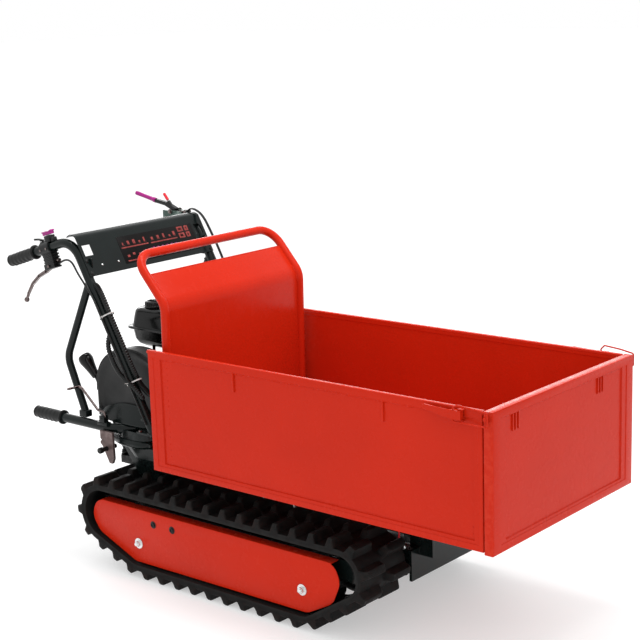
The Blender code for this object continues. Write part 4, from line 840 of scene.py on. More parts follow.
def latches(side):
    """The latch's wire loop, bent from round wire, and the pressed lever with its grip fold."""
    name = sided("latch_loop", side)
    arch = 0.01 if side > 0 else 0.006
    y = side * LOOP_Y
    corners = [at(LOOP_X, y, LATCH_Z - 0.0165), at(1.0822, y, LATCH_Z - 0.0165),
        at(1.0822, y, LATCH_Z + 0.016), at(LOOP_X + 0.055, y, LATCH_Z + 0.0165 + arch * 0.6),
        at(LOOP_X + 0.01, y, LATCH_Z + 0.0165 + arch), at(LOOP_X, y, LATCH_Z + 0.016)]
    wire = Shape()
    wire.tube(rounded(corners, 0.005, 6, True), 0.002, 14, closed=True)
    stand_in(name, "wire", wire, RED)
    name = sided("latch_lever", side)
    refined(name, RED, 0.001)
    fold = Shape()
    spine = [at(LOOP_X - 0.082, side * FOLD_Y, LATCH_Z + 0.011), at(LOOP_X - 0.05, side * FOLD_Y,
        LATCH_Z + 0.0104), at(LOOP_X - 0.006, side * FOLD_Y, LATCH_Z + 0.0088)]
    fold.tube(subdivided(spine, 0.01), 0.0016, 12, dome=True)
    lower = [at(LOOP_X - 0.078, side * FOLD_Y, LATCH_Z + 0.0024), at(LOOP_X - 0.006, side * FOLD_Y,
        LATCH_Z - 0.0086)]
    fold.tube(subdivided(lower, 0.01), 0.0014, 12, dome=True)
    for level in (-0.0122, 0.0106):
        fold.turned([(0.0032, 0.0), (0.0032, 0.001), (0.0025, 0.0016)], at(LOOP_X, y, LATCH_Z + level),
            (0, 0, 1), 16)
    add(name + "_folds", fold, RED, name)


def skip_base():
    """Floor plate and cross tubes in red over black channels, with rounded edges and floor weld seams."""
    limit = at(0, 0, 0.0042).z

    def choose(centre):
        return 1 if centre.z < limit and abs(centre.y) < 0.25 else 0

    refined("skip_floor", (RED, BLACK), 0.0008, choose)
    seams = Shape()
    for side in SIDES:
        seams.bead([at(x, side * 0.302, 0.0335) for x in (0.06, 0.4, 0.74, 1.04)], 0.0016)
    seams.bead([at(0.04, y, 0.0336) for y in (-0.25, 0.0, 0.25)], 0.002)
    add("skip_floor_seams", seams, RED, "skip")


# ---- chassis --------------------------------------------------------------------------------
def chassis():
    """Rounded rails, gearbox, pan and beams, with the bolts that hold them."""
    refined("chassis_frame", BLACK, 0.0009)
    refined("engine_pan", BLACK, 0.0009)
    refined("gearbox", IRON, 0.0016)
    refined("latch_plate", BROWN, 0.0007)
    for side in SIDES:
        refined(sided("track_beam", side), BLACK, 0.0008)
        for base in ("roller_1", "roller_2", "idler", "sprocket"):
            repaint(sided(base, side), IRON)
    for node in ("engine_pulley", "gearbox_pulley"):
        repaint(node, STEEL)
    repaint("drive_belt", RUBBER)

    bolts = Shape()
    for side in SIDES:
        for x in (0.05, 0.225, 0.415, 0.66):
            bolts.hex_bolt(at(x, side * 0.1251, -0.16), (0, side, 0), 0.006, 0.0045, 0.0092, 0.0025)
    for x, z in ((-0.275, -0.08), (-0.15, -0.08), (-0.275, -0.205), (-0.15, -0.205)):
        for side in SIDES:
            bolts.hex_bolt(at(x, side * 0.0851, z), (0, side, 0), 0.006, 0.0045, 0.0, 0.0)
    add("chassis_bolts", bolts, ZINC, "chassis")

    plate = Shape()
    outline = rounded_outline([(0.6, -0.2), (0.706, -0.2), (0.706, -0.15), (0.672, -0.128),
        (0.6, -0.128)], 0.01, 5)
    for side in SIDES:
        plate.plate(outline, 0.004, side_plane(side * 0.1275), 0.0008)
    plate.bead([at(0.7115, -0.118, -0.128), at(0.7115, 0.118, -0.128)], 0.0022)
    add("chassis_gussets", plate, BLACK, "chassis")

    pin = Shape()
    pin.rod(at(0.681, -0.13, -0.108), at(0.683, -0.13, -0.06), 0.0024, 14)
    pin.rod(at(0.6805, -0.13, -0.113), at(0.6808, -0.13, -0.106), 0.0048, 20, 0.0015, paint=1)
    pin.hex_bolt(at(0.696, -0.1296, -0.1235), (0, -1, 0), 0.0062, 0.005, paint=1)
    add("grease_cap", pin, (SIGNAL, ZINC), "chassis")

    sides = Shape()
    for side in SIDES:
        outline = rounded_outline([(-0.25, 0.0235), (-0.1, 0.0235), (-0.1, -0.083),
            (-0.178, -0.083), (-0.236, -0.008)], 0.008, 5)
        sides.plate(outline, 0.003, side_plane(side * 0.2), 0.0008)
        sides.slab(at(-0.33, side * 0.1475, 0.0352), at(-0.045, side * 0.1495, 0.074), 0.0006)
    add("pan_sides", sides, BLACK, "chassis")

    rods = Shape()
    for y, x0 in ((-0.165, 0.3), (-0.15, 0.33)):
        path = [at(x0 - 0.06, y, -0.11), at(x0 - 0.045, y, -0.07), at(x0 + 0.06, y, -0.064),
            at(x0 + 0.072, y, -0.092)]
        rods.tube(rounded(path, 0.01, 5), 0.0022, 10, dome=True)
    rods.slab(at(0.225, -0.17, -0.135), at(0.42, -0.145, -0.125), 0.001, paint=1)
    for y in (-0.165, -0.15):
        rods.rod(at(0.24 if y < -0.16 else 0.27, y, -0.126), at(0.24 if y < -0.16 else 0.27, y,
            -0.108), 0.004, 12)
        rods.rod(at(0.372 if y < -0.16 else 0.402, y, -0.126), at(0.372 if y < -0.16 else 0.402, y,
            -0.09), 0.004, 12)
    add("brake_rods", rods, (ZINC, BLACK), "chassis")


def rear_frame():
    """Engine deck with its bent side rails, curved plates, hangers, brackets and weld beads."""
    shape = Shape()
    shape.slab(at(-0.255, -0.15, 0.03), at(-0.0303, 0.15, 0.035), 0.0012)
    for side in SIDES:
        upper = [at(-0.556, side * RAIL_Y, RAIL_Z), at(-0.215, side * RAIL_Y, RAIL_Z),
            at(-0.13, side * 0.165, RAIL_Z), at(-0.034, side * 0.15, RAIL_Z)]
        shape.tube(rounded(upper, 0.1, 10), BAR_R, 28)
        lower = [at(-0.29, side * 0.21, LOWER_RAIL_Z), at(-0.195, side * 0.243, LOWER_RAIL_Z),
            at(-0.105, side * 0.245, LOWER_RAIL_Z), at(-0.09, side * 0.14, LOWER_RAIL_Z)]
        shape.tube(rounded(lower, 0.045, 10), 0.0115, 24, dome=True)
        wall = rounded(lower, 0.045, 8)[1:-1]
        low, high = PANEL_LOW.z + LOWER_RAIL_Z, PANEL_LOW.z + RAIL_Z + 0.001
        shape.along([Vector((p.x, p.y, (low + high) / 2)) for p in wall],
            lambda share: [(-0.0019, -(high - low) / 2), (0.0019, -(high - low) / 2),
            (0.0019, (high - low) / 2), (-0.0019, (high - low) / 2)], across=(0, 1, 0))
        shape.slab(at(-0.27, side * 0.13, 0.024), at(-0.095, side * 0.236, 0.033), 0.0012)
        shape.bead([at(-0.105, side * 0.176, 0.05), at(-0.07, side * 0.16, 0.05)], 0.0024)
        shape.bead([at(-0.25, side * 0.15, 0.0352), at(-0.12, side * 0.15, 0.0352)], 0.0022)
    x, z = -0.265, 0.128
    shape.slab(at(x - 0.014, -0.15, 0.031), at(x + 0.014, -0.144, z + 0.012), 0.001)
    shape.rod(at(x, -0.145, z), at(x, -0.178, z), 0.0072, 20)
    x, y, z = RELEASE
    shape.slab(at(x - 0.02, y - 0.0085, 0.07), at(x + 0.02, y + 0.0085, 0.08), 0.0008)
    for k in (-0.0085, 0.0055):
        shape.slab(at(x - 0.01, y + k, 0.077), at(x + 0.01, y + k + 0.003, 0.098), 0.0008)
    shape.rod(at(x, y - 0.01, z), at(x, y + 0.01, z), 0.0026, 16)
    stand_in("rear_frame", "tubes", shape, BLACK, 34.0)

    bolts = Shape()
    for side in SIDES:
        for spot in (-0.118, -0.07):
            bolts.hex_bolt(at(spot, side * (BAR_Y + 0.0075), 0.0705), (0, 0, 1), 0.0054, 0.004, 0.0)
        for spot in (-0.225, -0.09):
            bolts.hex_bolt(at(spot, side * 0.112, 0.0351), (0, 0, 1), 0.0062, 0.0048, 0.0098, 0.002)
    bolts.hex_bolt(at(x - 0.014, y, 0.0801), (0, 0, 1), 0.0034, 0.0026, 0.0052)
    add("deck_bolts", bolts, STEEL, "chassis")

    gusset = Shape()
    for side in SIDES:
        place = side_plane(side * (BAR_Y - 0.0165))
        outline = rounded_outline([(-0.176, 0.0655), (-0.082, 0.0655), (-0.092, 0.12), (-0.106, 0.126)],
            0.006, 4)
        gusset.plate(outline, 0.0035, place, 0.0008)
    add("foot_gussets", gusset, BLACK, "chassis")


def finger_grip(name, start, direction, down, length=0.128):
    """Rubber grip: finger waves below, fine ribs above, a collar in front and a domed end."""
    direction = Vector(direction).normalized()
    down = Vector(down)
    down = (down - direction * down.dot(direction)).normalized()
    across = direction.cross(down)
    shape = Shape()
    sides, count = 40, 74
    profile = [(0.0152, 0.0), (0.0196, 0.0002), (0.0208, 0.0016), (0.0208, 0.005), (0.0198, 0.0064),
        (0.0166, 0.0078)]
    body_start, body_end = 0.01, length - 0.005
    for k in range(count):
        profile.append((None, body_start + (body_end - body_start) * k / (count - 1)))
    profile += [(0.0172, length - 0.0028), (0.015, length - 0.0008), (0.01, length - 0.0001)]
    rings = []
    for radius, level in profile:
        ring = []
        for i in range(sides):
            angle = 2 * math.pi * i / sides
            r = radius
            if r is None:
                share = (level - body_start) / (body_end - body_start)
                below = max(0.0, math.cos(angle)) ** 1.5
                above = max(0.0, -math.cos(angle))
                wave = 0.5 - 0.5 * math.cos(2 * math.pi * 5.0 * min(1.0, max(0.0, (share - 0.14) / 0.8)))
                ribs = GRIP_RIB_H * (int(level / GRIP_RIB_PITCH) % 2) * above ** 0.5
                swell = 0.0006 * math.sin(math.pi * share)
                r = 0.0158 + swell + ribs + wave * (0.003 * below + 0.0007 * above)
            ring.append(Vector(start) + direction * level + (down * math.cos(angle)
                + across * math.sin(angle)) * r)
        rings.append(ring)
    shape.skin(rings)
    add(name + "_rubber", shape, RUBBER, "chassis", (name,), 50.0)


def along_grip(distance):
    """x and z at a distance from the end of a handlebar grip."""
    run = Vector((BAR_BEND[0] - GRIP_END[0], BAR_BEND[1] - GRIP_END[1])).normalized()
    return GRIP_END[0] + run.x * distance, GRIP_END[1] + run.y * distance


def down_bar(share):
    """x and z at a share of the handlebar's run from its bend to its foot."""
    return (BAR_BEND[0] + (BAR_FOOT[0] - BAR_BEND[0]) * share, BAR_BEND[1]
        + (BAR_FOOT[1] - BAR_BEND[1]) * share)


def beside_bar(share, off):
    """x and z of a point off the down tube's centre line, on its upper front side."""
    x, z = down_bar(share)
    run = Vector((BAR_FOOT[0] - BAR_BEND[0], BAR_FOOT[1] - BAR_BEND[1])).normalized()
    return x - run.y * off, z + run.x * off


def handlebar():
    """Bent tubes, their struts with flattened feet, cross tube, welds; and all four grips."""
    foot = (-0.0705, 0.064)
    shape = Shape()
    for side in SIDES:
        y = side * BAR_Y
        path = [at(GRIP_END[0], y, GRIP_END[1]), at(BAR_BEND[0], y, BAR_BEND[1]), at(foot[0], y, foot[1])]
        shape.tube(rounded(path, 0.07, 12), BAR_R, 28)
        top = down_bar(0.2)
        strut = [at(top[0], y, top[1]), at(-0.412, y, 0.243), at(-0.352, y, 0.093)]
        shape.tube(rounded(strut, 0.055, 10), 0.011, 24)
        shape.slab(at(-0.366, y - 0.012, 0.0763), at(-0.336, y + 0.012, 0.096), 0.003)
        shape.slab(at(-0.13, y - 0.013, 0.0643), at(-0.058, y + 0.013, 0.0703), 0.0012)
        seam = [at(top[0] - 0.014, y + k, top[1] - 0.012) for k in (-0.009, 0.0, 0.009)]
        shape.bead(seam, 0.0022)
        ring = [at(foot[0] - 0.006 + 0.0165 * math.cos(a), y + 0.0145 * math.sin(a), 0.0718)
            for a in [math.pi * k / 6 for k in range(13)]]
        shape.bead(ring, 0.002)
    cross = down_bar(0.16)
    shape.rod(at(cross[0], -BAR_Y, cross[1]), at(cross[0], BAR_Y, cross[1]), 0.01, 24)
    stand_in("handlebar_frame", "tubes", shape, BLACK, 34.0)

    x, z = along_grip(0.118)
    back = Vector((GRIP_END[0] - BAR_BEND[0], 0, GRIP_END[1] - BAR_BEND[1]))
    for side in SIDES:
        finger_grip(sided("hand_grip", side), at(x, side * BAR_Y, z), back, (0, 0, -1), 0.121)
        finger_grip(sided("rail_grip", side), at(-0.434, side * RAIL_Y, RAIL_Z), (-1, 0, 0), (0, 0, -1),
            0.12)


# ---- console --------------------------------------------------------------------------------
CONSOLE_SLOPE = (Vector(CONSOLE_TOP) - Vector(CONSOLE_FOOT)).normalized()


def on_console(y, s, lift=0.0):
    """A point on the console's front face: s up its slope from its lower edge, lift off the face."""
    base = Vector(CONSOLE_FOOT) + CONSOLE_SLOPE * s
    normal = Vector((CONSOLE_SLOPE.y, -CONSOLE_SLOPE.x))
    return at(base.x + normal.x * (0.00125 + lift), y, base.y + normal.y * (0.00125 + lift))


def console_place(y, s, lift=0.0):
    """A frame on the console's face: +X to the machine's left, +Y up the slope, +Z off the face."""
    up = Vector((CONSOLE_SLOPE.x, 0, CONSOLE_SLOPE.y))
    out = Vector((CONSOLE_SLOPE.y, 0, -CONSOLE_SLOPE.x))
    return placed((up.cross(out), up, out), on_console(y, s, lift))


def console():
    """Bent control panel with rounded edges, a generic decal of blocks and bars, screws and plugs."""
    refined("console", BLACK, 0.0009)
    decal = Shape()
    low, high = -0.104, 0.197
    decal.plate([(low, 0.015), (high, 0.015), (high, 0.0975), (low, 0.0975)], 0.0006,
        console_place(0.0, 0.0, 0.0003), 0.0002)
    lift = 0.00075

    def block(y0, y1, s0, s1, paint=1):
        decal.plate([(y0, s0), (y1, s0), (y1, s1), (y0, s1)], 0.0003, console_place(0.0, 0.0, lift),
            0.0001, paint)

    for y0, y1, s in ((-0.099, 0.006, 0.061), (0.016, 0.124, 0.06), (-0.093, 0.12, 0.02)):
        block(y0, y1, s, s + 0.0036)
    for y0 in (0.134, 0.164):
        for s0 in (0.058, 0.078):
            block(y0, y0 + 0.023 - (0.008 if y0 > 0.15 else 0.0), s0, s0 + 0.016)
            block(y0 + 0.005, y0 + (0.017 if y0 < 0.15 else 0.01), s0 + 0.0045, s0 + 0.0115, 0)
    for i, y in enumerate((-0.092, -0.072, -0.05, -0.028, -0.008, 0.022, 0.046, 0.07, 0.094, 0.112)):
        tall = 0.004 + 0.009 * abs(math.sin(i * 1.9 + 0.4))
        block(y, y + 0.005 + 0.004 * abs(math.sin(i * 2.3)), 0.071, 0.071 + tall)
        block(y, y + 0.01, 0.069, 0.0697)
    for i in range(7):
        y = -0.088 + 0.022 * i
        block(y, y + 0.009, 0.033 + 0.004 * (i % 2), 0.04 + 0.004 * (i % 2))
    for i in range(6):
        y = 0.02 + 0.018 * i
        decal.turned([(0.0058, 0.0), (0.0058, 0.0003)], on_console(y, 0.043, lift),
            console_place(0, 0).col[2].to_3d(), 24, 2)
        decal.turned([(0.004, 0.0002), (0.004, 0.0005)], on_console(y, 0.043, lift),
            console_place(0, 0).col[2].to_3d(), 24, 0)
    add("console_decal", decal, (DECAL, MARKS, VIOLET), "chassis", crease=30.0)

    screws = Shape()
    out = console_place(0, 0).col[2].to_3d()
    for y, s in ((-0.238, 0.047), (-0.237, 0.009), (0.238, 0.047), (0.237, 0.009)):
        screws.turned([(0.0056, 0.0), (0.0056, 0.0006), (0.0046, 0.0022), (0.0024, 0.0028)],
            on_console(y, s), out, 24, 1)
    for y, s in ((-0.189, 0.028), (-0.127, 0.028), (0.213, 0.028)):
        screws.turned([(0.003, 0.0), (0.003, 0.0005), (0.0022, 0.0011)], on_console(y, s), out, 20)
    add("console_screws", screws, (ZINC, PLASTIC), "chassis")

    brackets = Shape()
    for side in SIDES:
        x, z = down_bar(0.14)
        brackets.slab(at(x - 0.004, side * 0.229, z - 0.03), at(x + 0.02, side * 0.226, z + 0.026),
            0.001)
    add("console_brackets", brackets, BLACK, "chassis")


# ---- controls -------------------------------------------------------------------------------
def grip_place(distance, side):
    """A frame on a handlebar tube: +X forward along the tube, +Z up and away from it."""
    start, end = along_grip(distance), along_grip(distance + 0.03)
    slope = math.atan2(end[1] - start[1], end[0] - start[0])
    return Matrix.Translation(at(start[0], side * BAR_Y, start[1])) @ Matrix.Rotation(-slope, 4, "Y")


def right_controls():
    """Ribbed lever housing with its clamp and adjuster, blade lever, throttle blade and stop rocker."""
    place = grip_place(0.172, -1)
    shape = Shape()
    for i in range(6):
        low = -0.061 + 0.009 * i
        wide = 0.0148 - 0.0004 * (5 - i)
        shape.slab((-0.019 + 0.001 * i, -wide, low), (0.0255, wide, low + 0.005), 0.0014, place)
    shape.slab((-0.0165, -0.0122, -0.06), (0.0225, 0.0122, -0.006), 0.002, place)
    shape.slab((-0.0225, -0.0105, -0.02), (-0.012, 0.0105, -0.006), 0.003, place)
    for low, high in ((-0.0112, -0.0052), (0.0052, 0.0112)):
        shape.slab((-0.011, low, -0.06), (-0.024, high, -0.044), 0.001, place)
    run = (place @ Vector((1, 0, 0))) - (place @ Vector((0, 0, 0)))
    collar = [(0.0185, -0.02), (0.0198, -0.0185), (0.0198, 0.0205), (0.0185, 0.022)]
    shape.turned(collar, place @ Vector((0, 0, 0)), run, 32)
    shape.slab((0.008, -0.0115, 0.014), (0.031, 0.0115, 0.033), 0.0022, place)
    shape.slab((-0.019, -0.0085, 0.014), (-0.003, 0.0085, 0.0215), 0.0014, place)
    shape.slab((0.03, -0.0085, 0.012), (0.042, 0.0085, 0.025), 0.003, place)
    for x in (-0.012, 0.014):
        for y in (-0.0202, 0.0202):
            shape.turned([(0.0036, 0.0), (0.0036, 0.0018), (0.0028, 0.0024)],
                place @ Vector((x, y * 0.97, -0.003)), (0, y, 0), 16, paint=1)
    pivot = place @ Vector((0.0, 0, -0.052))
    shape.rod(pivot + Vector((0, -0.0145, 0)), pivot + Vector((0, 0.0145, 0)), 0.0022, 16, paint=1)
    shape.hex_bolt(pivot + Vector((0, -0.0142, 0)), (0, -1, 0), 0.0044, 0.0032, paint=1)
    exit_point = place @ Vector((0.0248, 0, -0.04))
    ferrule = [(0.0055, 0.0), (0.0055, 0.004), (0.0042, 0.0046), (0.0042, 0.0085), (0.006, 0.009),
        (0.006, 0.0125), (0.0038, 0.0135)]
    target = at(-0.4, -BAR_Y, 0.524)
    shape.turned(ferrule, exit_point, target - exit_point, 20, paint=1)
    stand_in("lever_housing_right", "body", shape, (PLASTIC, STEEL), 36.0)

    lever = Shape()
    y = -BAR_Y
    points = [pivot + Vector((0.008, 0, 0.004)), at(-0.48, y, 0.485), at(-0.513, y, 0.468),
        at(-0.545, y, 0.442), at(-0.566, y, 0.413), at(-0.577, y, 0.3925)]
    path = smooth_route(rounded(points, 0.03, 3), 40)

    def blade(share):
        wide = 0.0052 - 0.0012 * share
        thick = 0.006 - 0.0028 * share
        ease = 0.0011
        return [(-wide + ease, -thick), (-wide, -thick + ease), (-wide * 0.55, 0.0),
            (-wide, thick - ease), (-wide + ease, thick), (wide - ease, thick), (wide, thick - ease),
            (wide * 0.55, 0.0), (wide, -thick + ease), (wide - ease, -thick)]

    lever.along(path, blade)
    ball = [(0.0078 * math.sin(math.pi * k / 12), -0.0078 * math.cos(math.pi * k / 12)) for k in range(13)]
    lever.turned(ball, points[-1], (0, 0, 1), 24)
    lever.turned([(0.006, -0.0052), (0.0068, -0.0044), (0.0068, 0.0044), (0.006, 0.0052)], pivot,
        (0, 1, 0), 24)
    stand_in("clutch_lever_right", "blade", lever, STEEL, 36.0)

    spot = place @ Vector((-0.012, 0.0, 0.0225))
    slope = math.atan2(place.col[0][2], place.col[0][0])
    turn = Matrix.Translation(spot) @ Matrix.Rotation(math.radians(14) - slope, 4, "Y")
    thumb = Shape()

    def thumb_section(share):
        wide = 0.0034 + 0.0014 * share - 0.0024 * max(0.0, share - 0.85) / 0.15
        return [(-wide, 0.0), (-wide + 0.0008, -0.0018 - 0.001 * share),
            (wide - 0.0008, -0.0018 - 0.001 * share), (wide, 0.0), (wide - 0.0008, 0.0028),
            (-wide + 0.0008, 0.0028)]

    blade_path = [turn @ Vector((0.002 - 0.04 * s, 0.0, 0.003 + 0.0016 * math.sin(s * 3.0)))
        for s in [k / 14 for k in range(15)]]
    thumb.along(blade_path, thumb_section)
    thumb.turned([(0.0056, -0.0006), (0.0062, 0.0002), (0.0062, 0.004), (0.005, 0.005)],
        turn @ Vector((-0.006, 0, 0)), turn.col[2].to_3d(), 24)
    stand_in("throttle_lever", "blade", thumb, PLASTIC, 36.0)

    middle = place @ Vector((0.019, 0.0, 0.0405))
    turn = Matrix.Translation(middle) @ Matrix.Rotation(-slope, 4, "Y")
    rocker = Shape()
    saddle = []
    for k in range(17):
        u = -0.0195 + 0.039 * k / 16
        saddle.append(turn @ Vector((u, 0, 0.0022 + 0.003 * (u / 0.0195) ** 2)))
    rocker.along(saddle, lambda share: [(-0.0072, -0.003), (-0.008, -0.0018), (-0.0078, 0.0004),
        (-0.0066, 0.0012), (0.0066, 0.0012), (0.0078, 0.0004), (0.008, -0.0018), (0.0072, -0.003)])
    rocker.slab((-0.0185, -0.0072, -0.0058), (0.0185, 0.0072, 0.0012), 0.0016, turn)
    for u in (-0.014, -0.0115, -0.009):
        rocker.slab((u, -0.0055, 0.004), (u + 0.001, 0.0055, 0.0058), 0.0003, turn)
    stand_in("stop_switch", "rocker", rocker, MAGENTA, 36.0)


def left_controls():
    """Bracket and clamp, lever arm with its magenta sleeve and lock socket, lock button and spring."""
    y = BAR_Y
    refined("lever_bracket_left", GREENISH, 0.0009)
    clamp = Shape()
    place = grip_place(0.19, 1)
    run = place.col[0].to_3d()
    for offset in (-0.016, 0.01):
        clamp.turned([(0.0172, offset), (0.018, offset + 0.001), (0.018, offset + 0.007),
            (0.0172, offset + 0.008)], place.translation, run, 32)
    clamp.hex_bolt(at(-0.436, y - 0.0212, 0.6), (0, -1, 0), 0.0052, 0.0036, 0.0074)
    clamp.hex_bolt(at(-0.436, y + 0.0212, 0.6), (0, 1, 0), 0.0052, 0.0036, 0.0074)
    cheek = rounded_outline([(-0.446, 0.5745), (-0.396, 0.58), (-0.378, 0.592), (-0.378, 0.606),
        (-0.404, 0.6035), (-0.446, 0.596)], 0.004, 4)
    for k in (-0.0125, 0.0105):
        clamp.plate(cheek, 0.002, side_plane(y + k), 0.0005)
    add("lever_clamp_left", clamp, STEEL, "chassis")

    arm = Shape()
    path = rounded([at(-0.428, y, 0.602), at(-0.47, y, 0.619), at(-0.512, y, 0.6255),
        at(-0.532, y, 0.6298)], 0.03, 6)

    def channel(share):
        wide, thick = 0.0072 - 0.002 * share, 0.0068 - 0.002 * share
        return [(-wide, -thick + 0.001), (-wide, thick - 0.002), (-wide + 0.002, thick), (-0.0022, thick),
            (-0.0016, thick - 0.0022), (0.0016, thick - 0.0022), (0.0022, thick), (wide - 0.002, thick),
            (wide, thick - 0.002), (wide, -thick + 0.001), (wide - 0.001, -thick), (-wide + 0.001, -thick)]

    arm.along(smooth_route(path, 30), channel)
    arm.turned([(0.0078, -0.009), (0.0085, -0.0082), (0.0085, 0.0082), (0.0078, 0.009)],
        at(-0.436, y, 0.6), (0, 1, 0), 28)
    sleeve_run = at(-0.604, y, 0.6452) - at(-0.517, y, 0.6266)
    length = sleeve_run.length
    sleeve = [(0.006, 0.0), (0.0078, 0.0006), (0.008, 0.006), (0.007, 0.012)]
    sleeve += [(0.0066 - 0.0004 * math.sin(math.pi * k / 10), 0.014 + (length - 0.024) * k / 10)
        for k in range(11)]
    sleeve += [(0.0068, length - 0.006), (0.0064, length - 0.0022), (0.0046, length - 0.0004)]
    arm.turned(sleeve, at(-0.517, y, 0.6266), sleeve_run, 32, paint=1)
    push = Vector((-0.65, 0, 0.76)).normalized()
    spot = at(-0.464, y, 0.631)
    arm.turned([(0.0041, -0.024), (0.0052, -0.024), (0.0052, -0.005), (0.0047, -0.0045),
        (0.0041, -0.005), (0.0041, -0.024)], spot, push, 28)
    stand_in("clutch_lever_left", "arm", arm, (PLASTIC, MAGENTA), 36.0)

    lock = Shape()
    lock.turned([(0.0036, 0.0), (0.0046, 0.0008), (0.0046, 0.0225), (0.004, 0.0248), (0.0026, 0.0259)],
        spot, push, 24)
    lock.turned([(0.0018, -0.0074), (0.0018, 0.0)], spot, push, 16, paint=1)
    coil = []
    for k in range(32):
        angle = 2 * math.pi * k / 15
        u, v = axes_across(push)
        coil.append(spot + push * (-0.0006 - 0.0026 * k / 31) + (u * math.cos(angle)
            + v * math.sin(angle)) * 0.0033)
    lock.tube(coil, 0.0005, 6, paint=1)
    stand_in("lever_lock", "button", lock, (SIGNAL, ZINC), 40.0)


def levers():
    """Gear lever with its moulded knob and ring, and the bent release rod."""
    foot, low, knob, top = (-0.322, -0.058), (-0.395, 0.082), (-0.433, 0.155), (-0.483, 0.212)
    y = -0.12
    shape = Shape()
    shaft = [at(foot[0], y, foot[1]), at(low[0], y, low[1]), at(knob[0] - 0.004, y, knob[1] + 0.005)]
    shape.tube(rounded(shaft, 0.04, 8), 0.005, 18, paint=1)
    run = Vector((top[0] - knob[0], 0, top[1] - knob[1]))
    length = run.length
    profile = [(0.009, 0.0), (0.0112, 0.0012), (0.0122, 0.009)]
    profile += [(0.0124 + 0.0074 * (k / 8) ** 1.4 + (0.0003 if k % 2 else 0.0),
        0.01 + (length - 0.034) * k / 8) for k in range(9)]
    profile += [(0.0208, length - 0.02), (0.0213, length - 0.012), (0.0204, length - 0.005),
        (0.0182, length - 0.0012), (0.0168, length - 0.0006)]
    start = at(knob[0], y, knob[1])
    shape.turned(profile, start, run, 36)
    direction = run.normalized()
    crown = start + direction * (length - 0.001)
    shape.turned([(0.0172, 0.0), (0.0172, 0.0008), (0.014, 0.0012), (0.0134, 0.0004)], crown, run, 36,
        paint=2)
    shape.turned([(0.013, 0.0), (0.0128, 0.0006), (0.006, 0.0003), (0.003, 0.0008)], crown, run, 32)
    u, v = axes_across(direction)
    for k in range(5):
        angle = 2 * math.pi * k / 5
        centre = crown + (u * math.cos(angle) + v * math.sin(angle)) * 0.0092
        shape.turned([(0.001, 0.0006), (0.001, 0.0011)], centre, run, 10, paint=2)
    boot = [(0.015, -0.0002), (0.0152, 0.003), (0.0118, 0.0048), (0.0134, 0.0072), (0.01, 0.0092),
        (0.0112, 0.0114), (0.0064, 0.015)]
    shape.turned(boot, at(foot[0], y, foot[1] - 0.0003), (at(low[0], y, low[1])
        - at(foot[0], y, foot[1])), 28, paint=3)
    stand_in("gear_lever", "knob", shape, (GLOSS, BLACK, STEEL, RUBBER), 36.0)

    y = RELEASE[1]
    pivot = at(*RELEASE)
    rod = Shape()
    points = [pivot + Vector((0.006, 0.0, 0.006)), at(-0.25, y, 0.108), at(-0.277, y, 0.11),
        at(-0.345, y, 0.17), at(-0.352, y - 0.04, 0.169)]
    rod.tube(rounded(points, 0.012, 7), 0.0036, 18, dome=True)
    rod.turned([(0.0072, -0.005), (0.008, -0.0042), (0.008, 0.0042), (0.0072, 0.005)], pivot,
        (0, 1, 0), 28)
    stand_in("skip_release", "rod", rod, STEEL, 36.0)

    x, z = -0.233, 0.0085
    pin = Shape()
    knurl = [(0.0055, -0.03), (0.0062, -0.0292), (0.0062, 0.01), (0.0064, 0.015), (0.007, 0.018),
        (0.0083, 0.0208), (0.0087, 0.0232), (0.0087, 0.03), (0.0078, 0.0328), (0.005, 0.034),
        (0.0034, 0.0336)]
    pin.turned(knurl, at(x, -0.269, z), (0, -1, 0), 32)
    stand_in("latch_pin", "knob", pin, PLASTIC, 40.0)


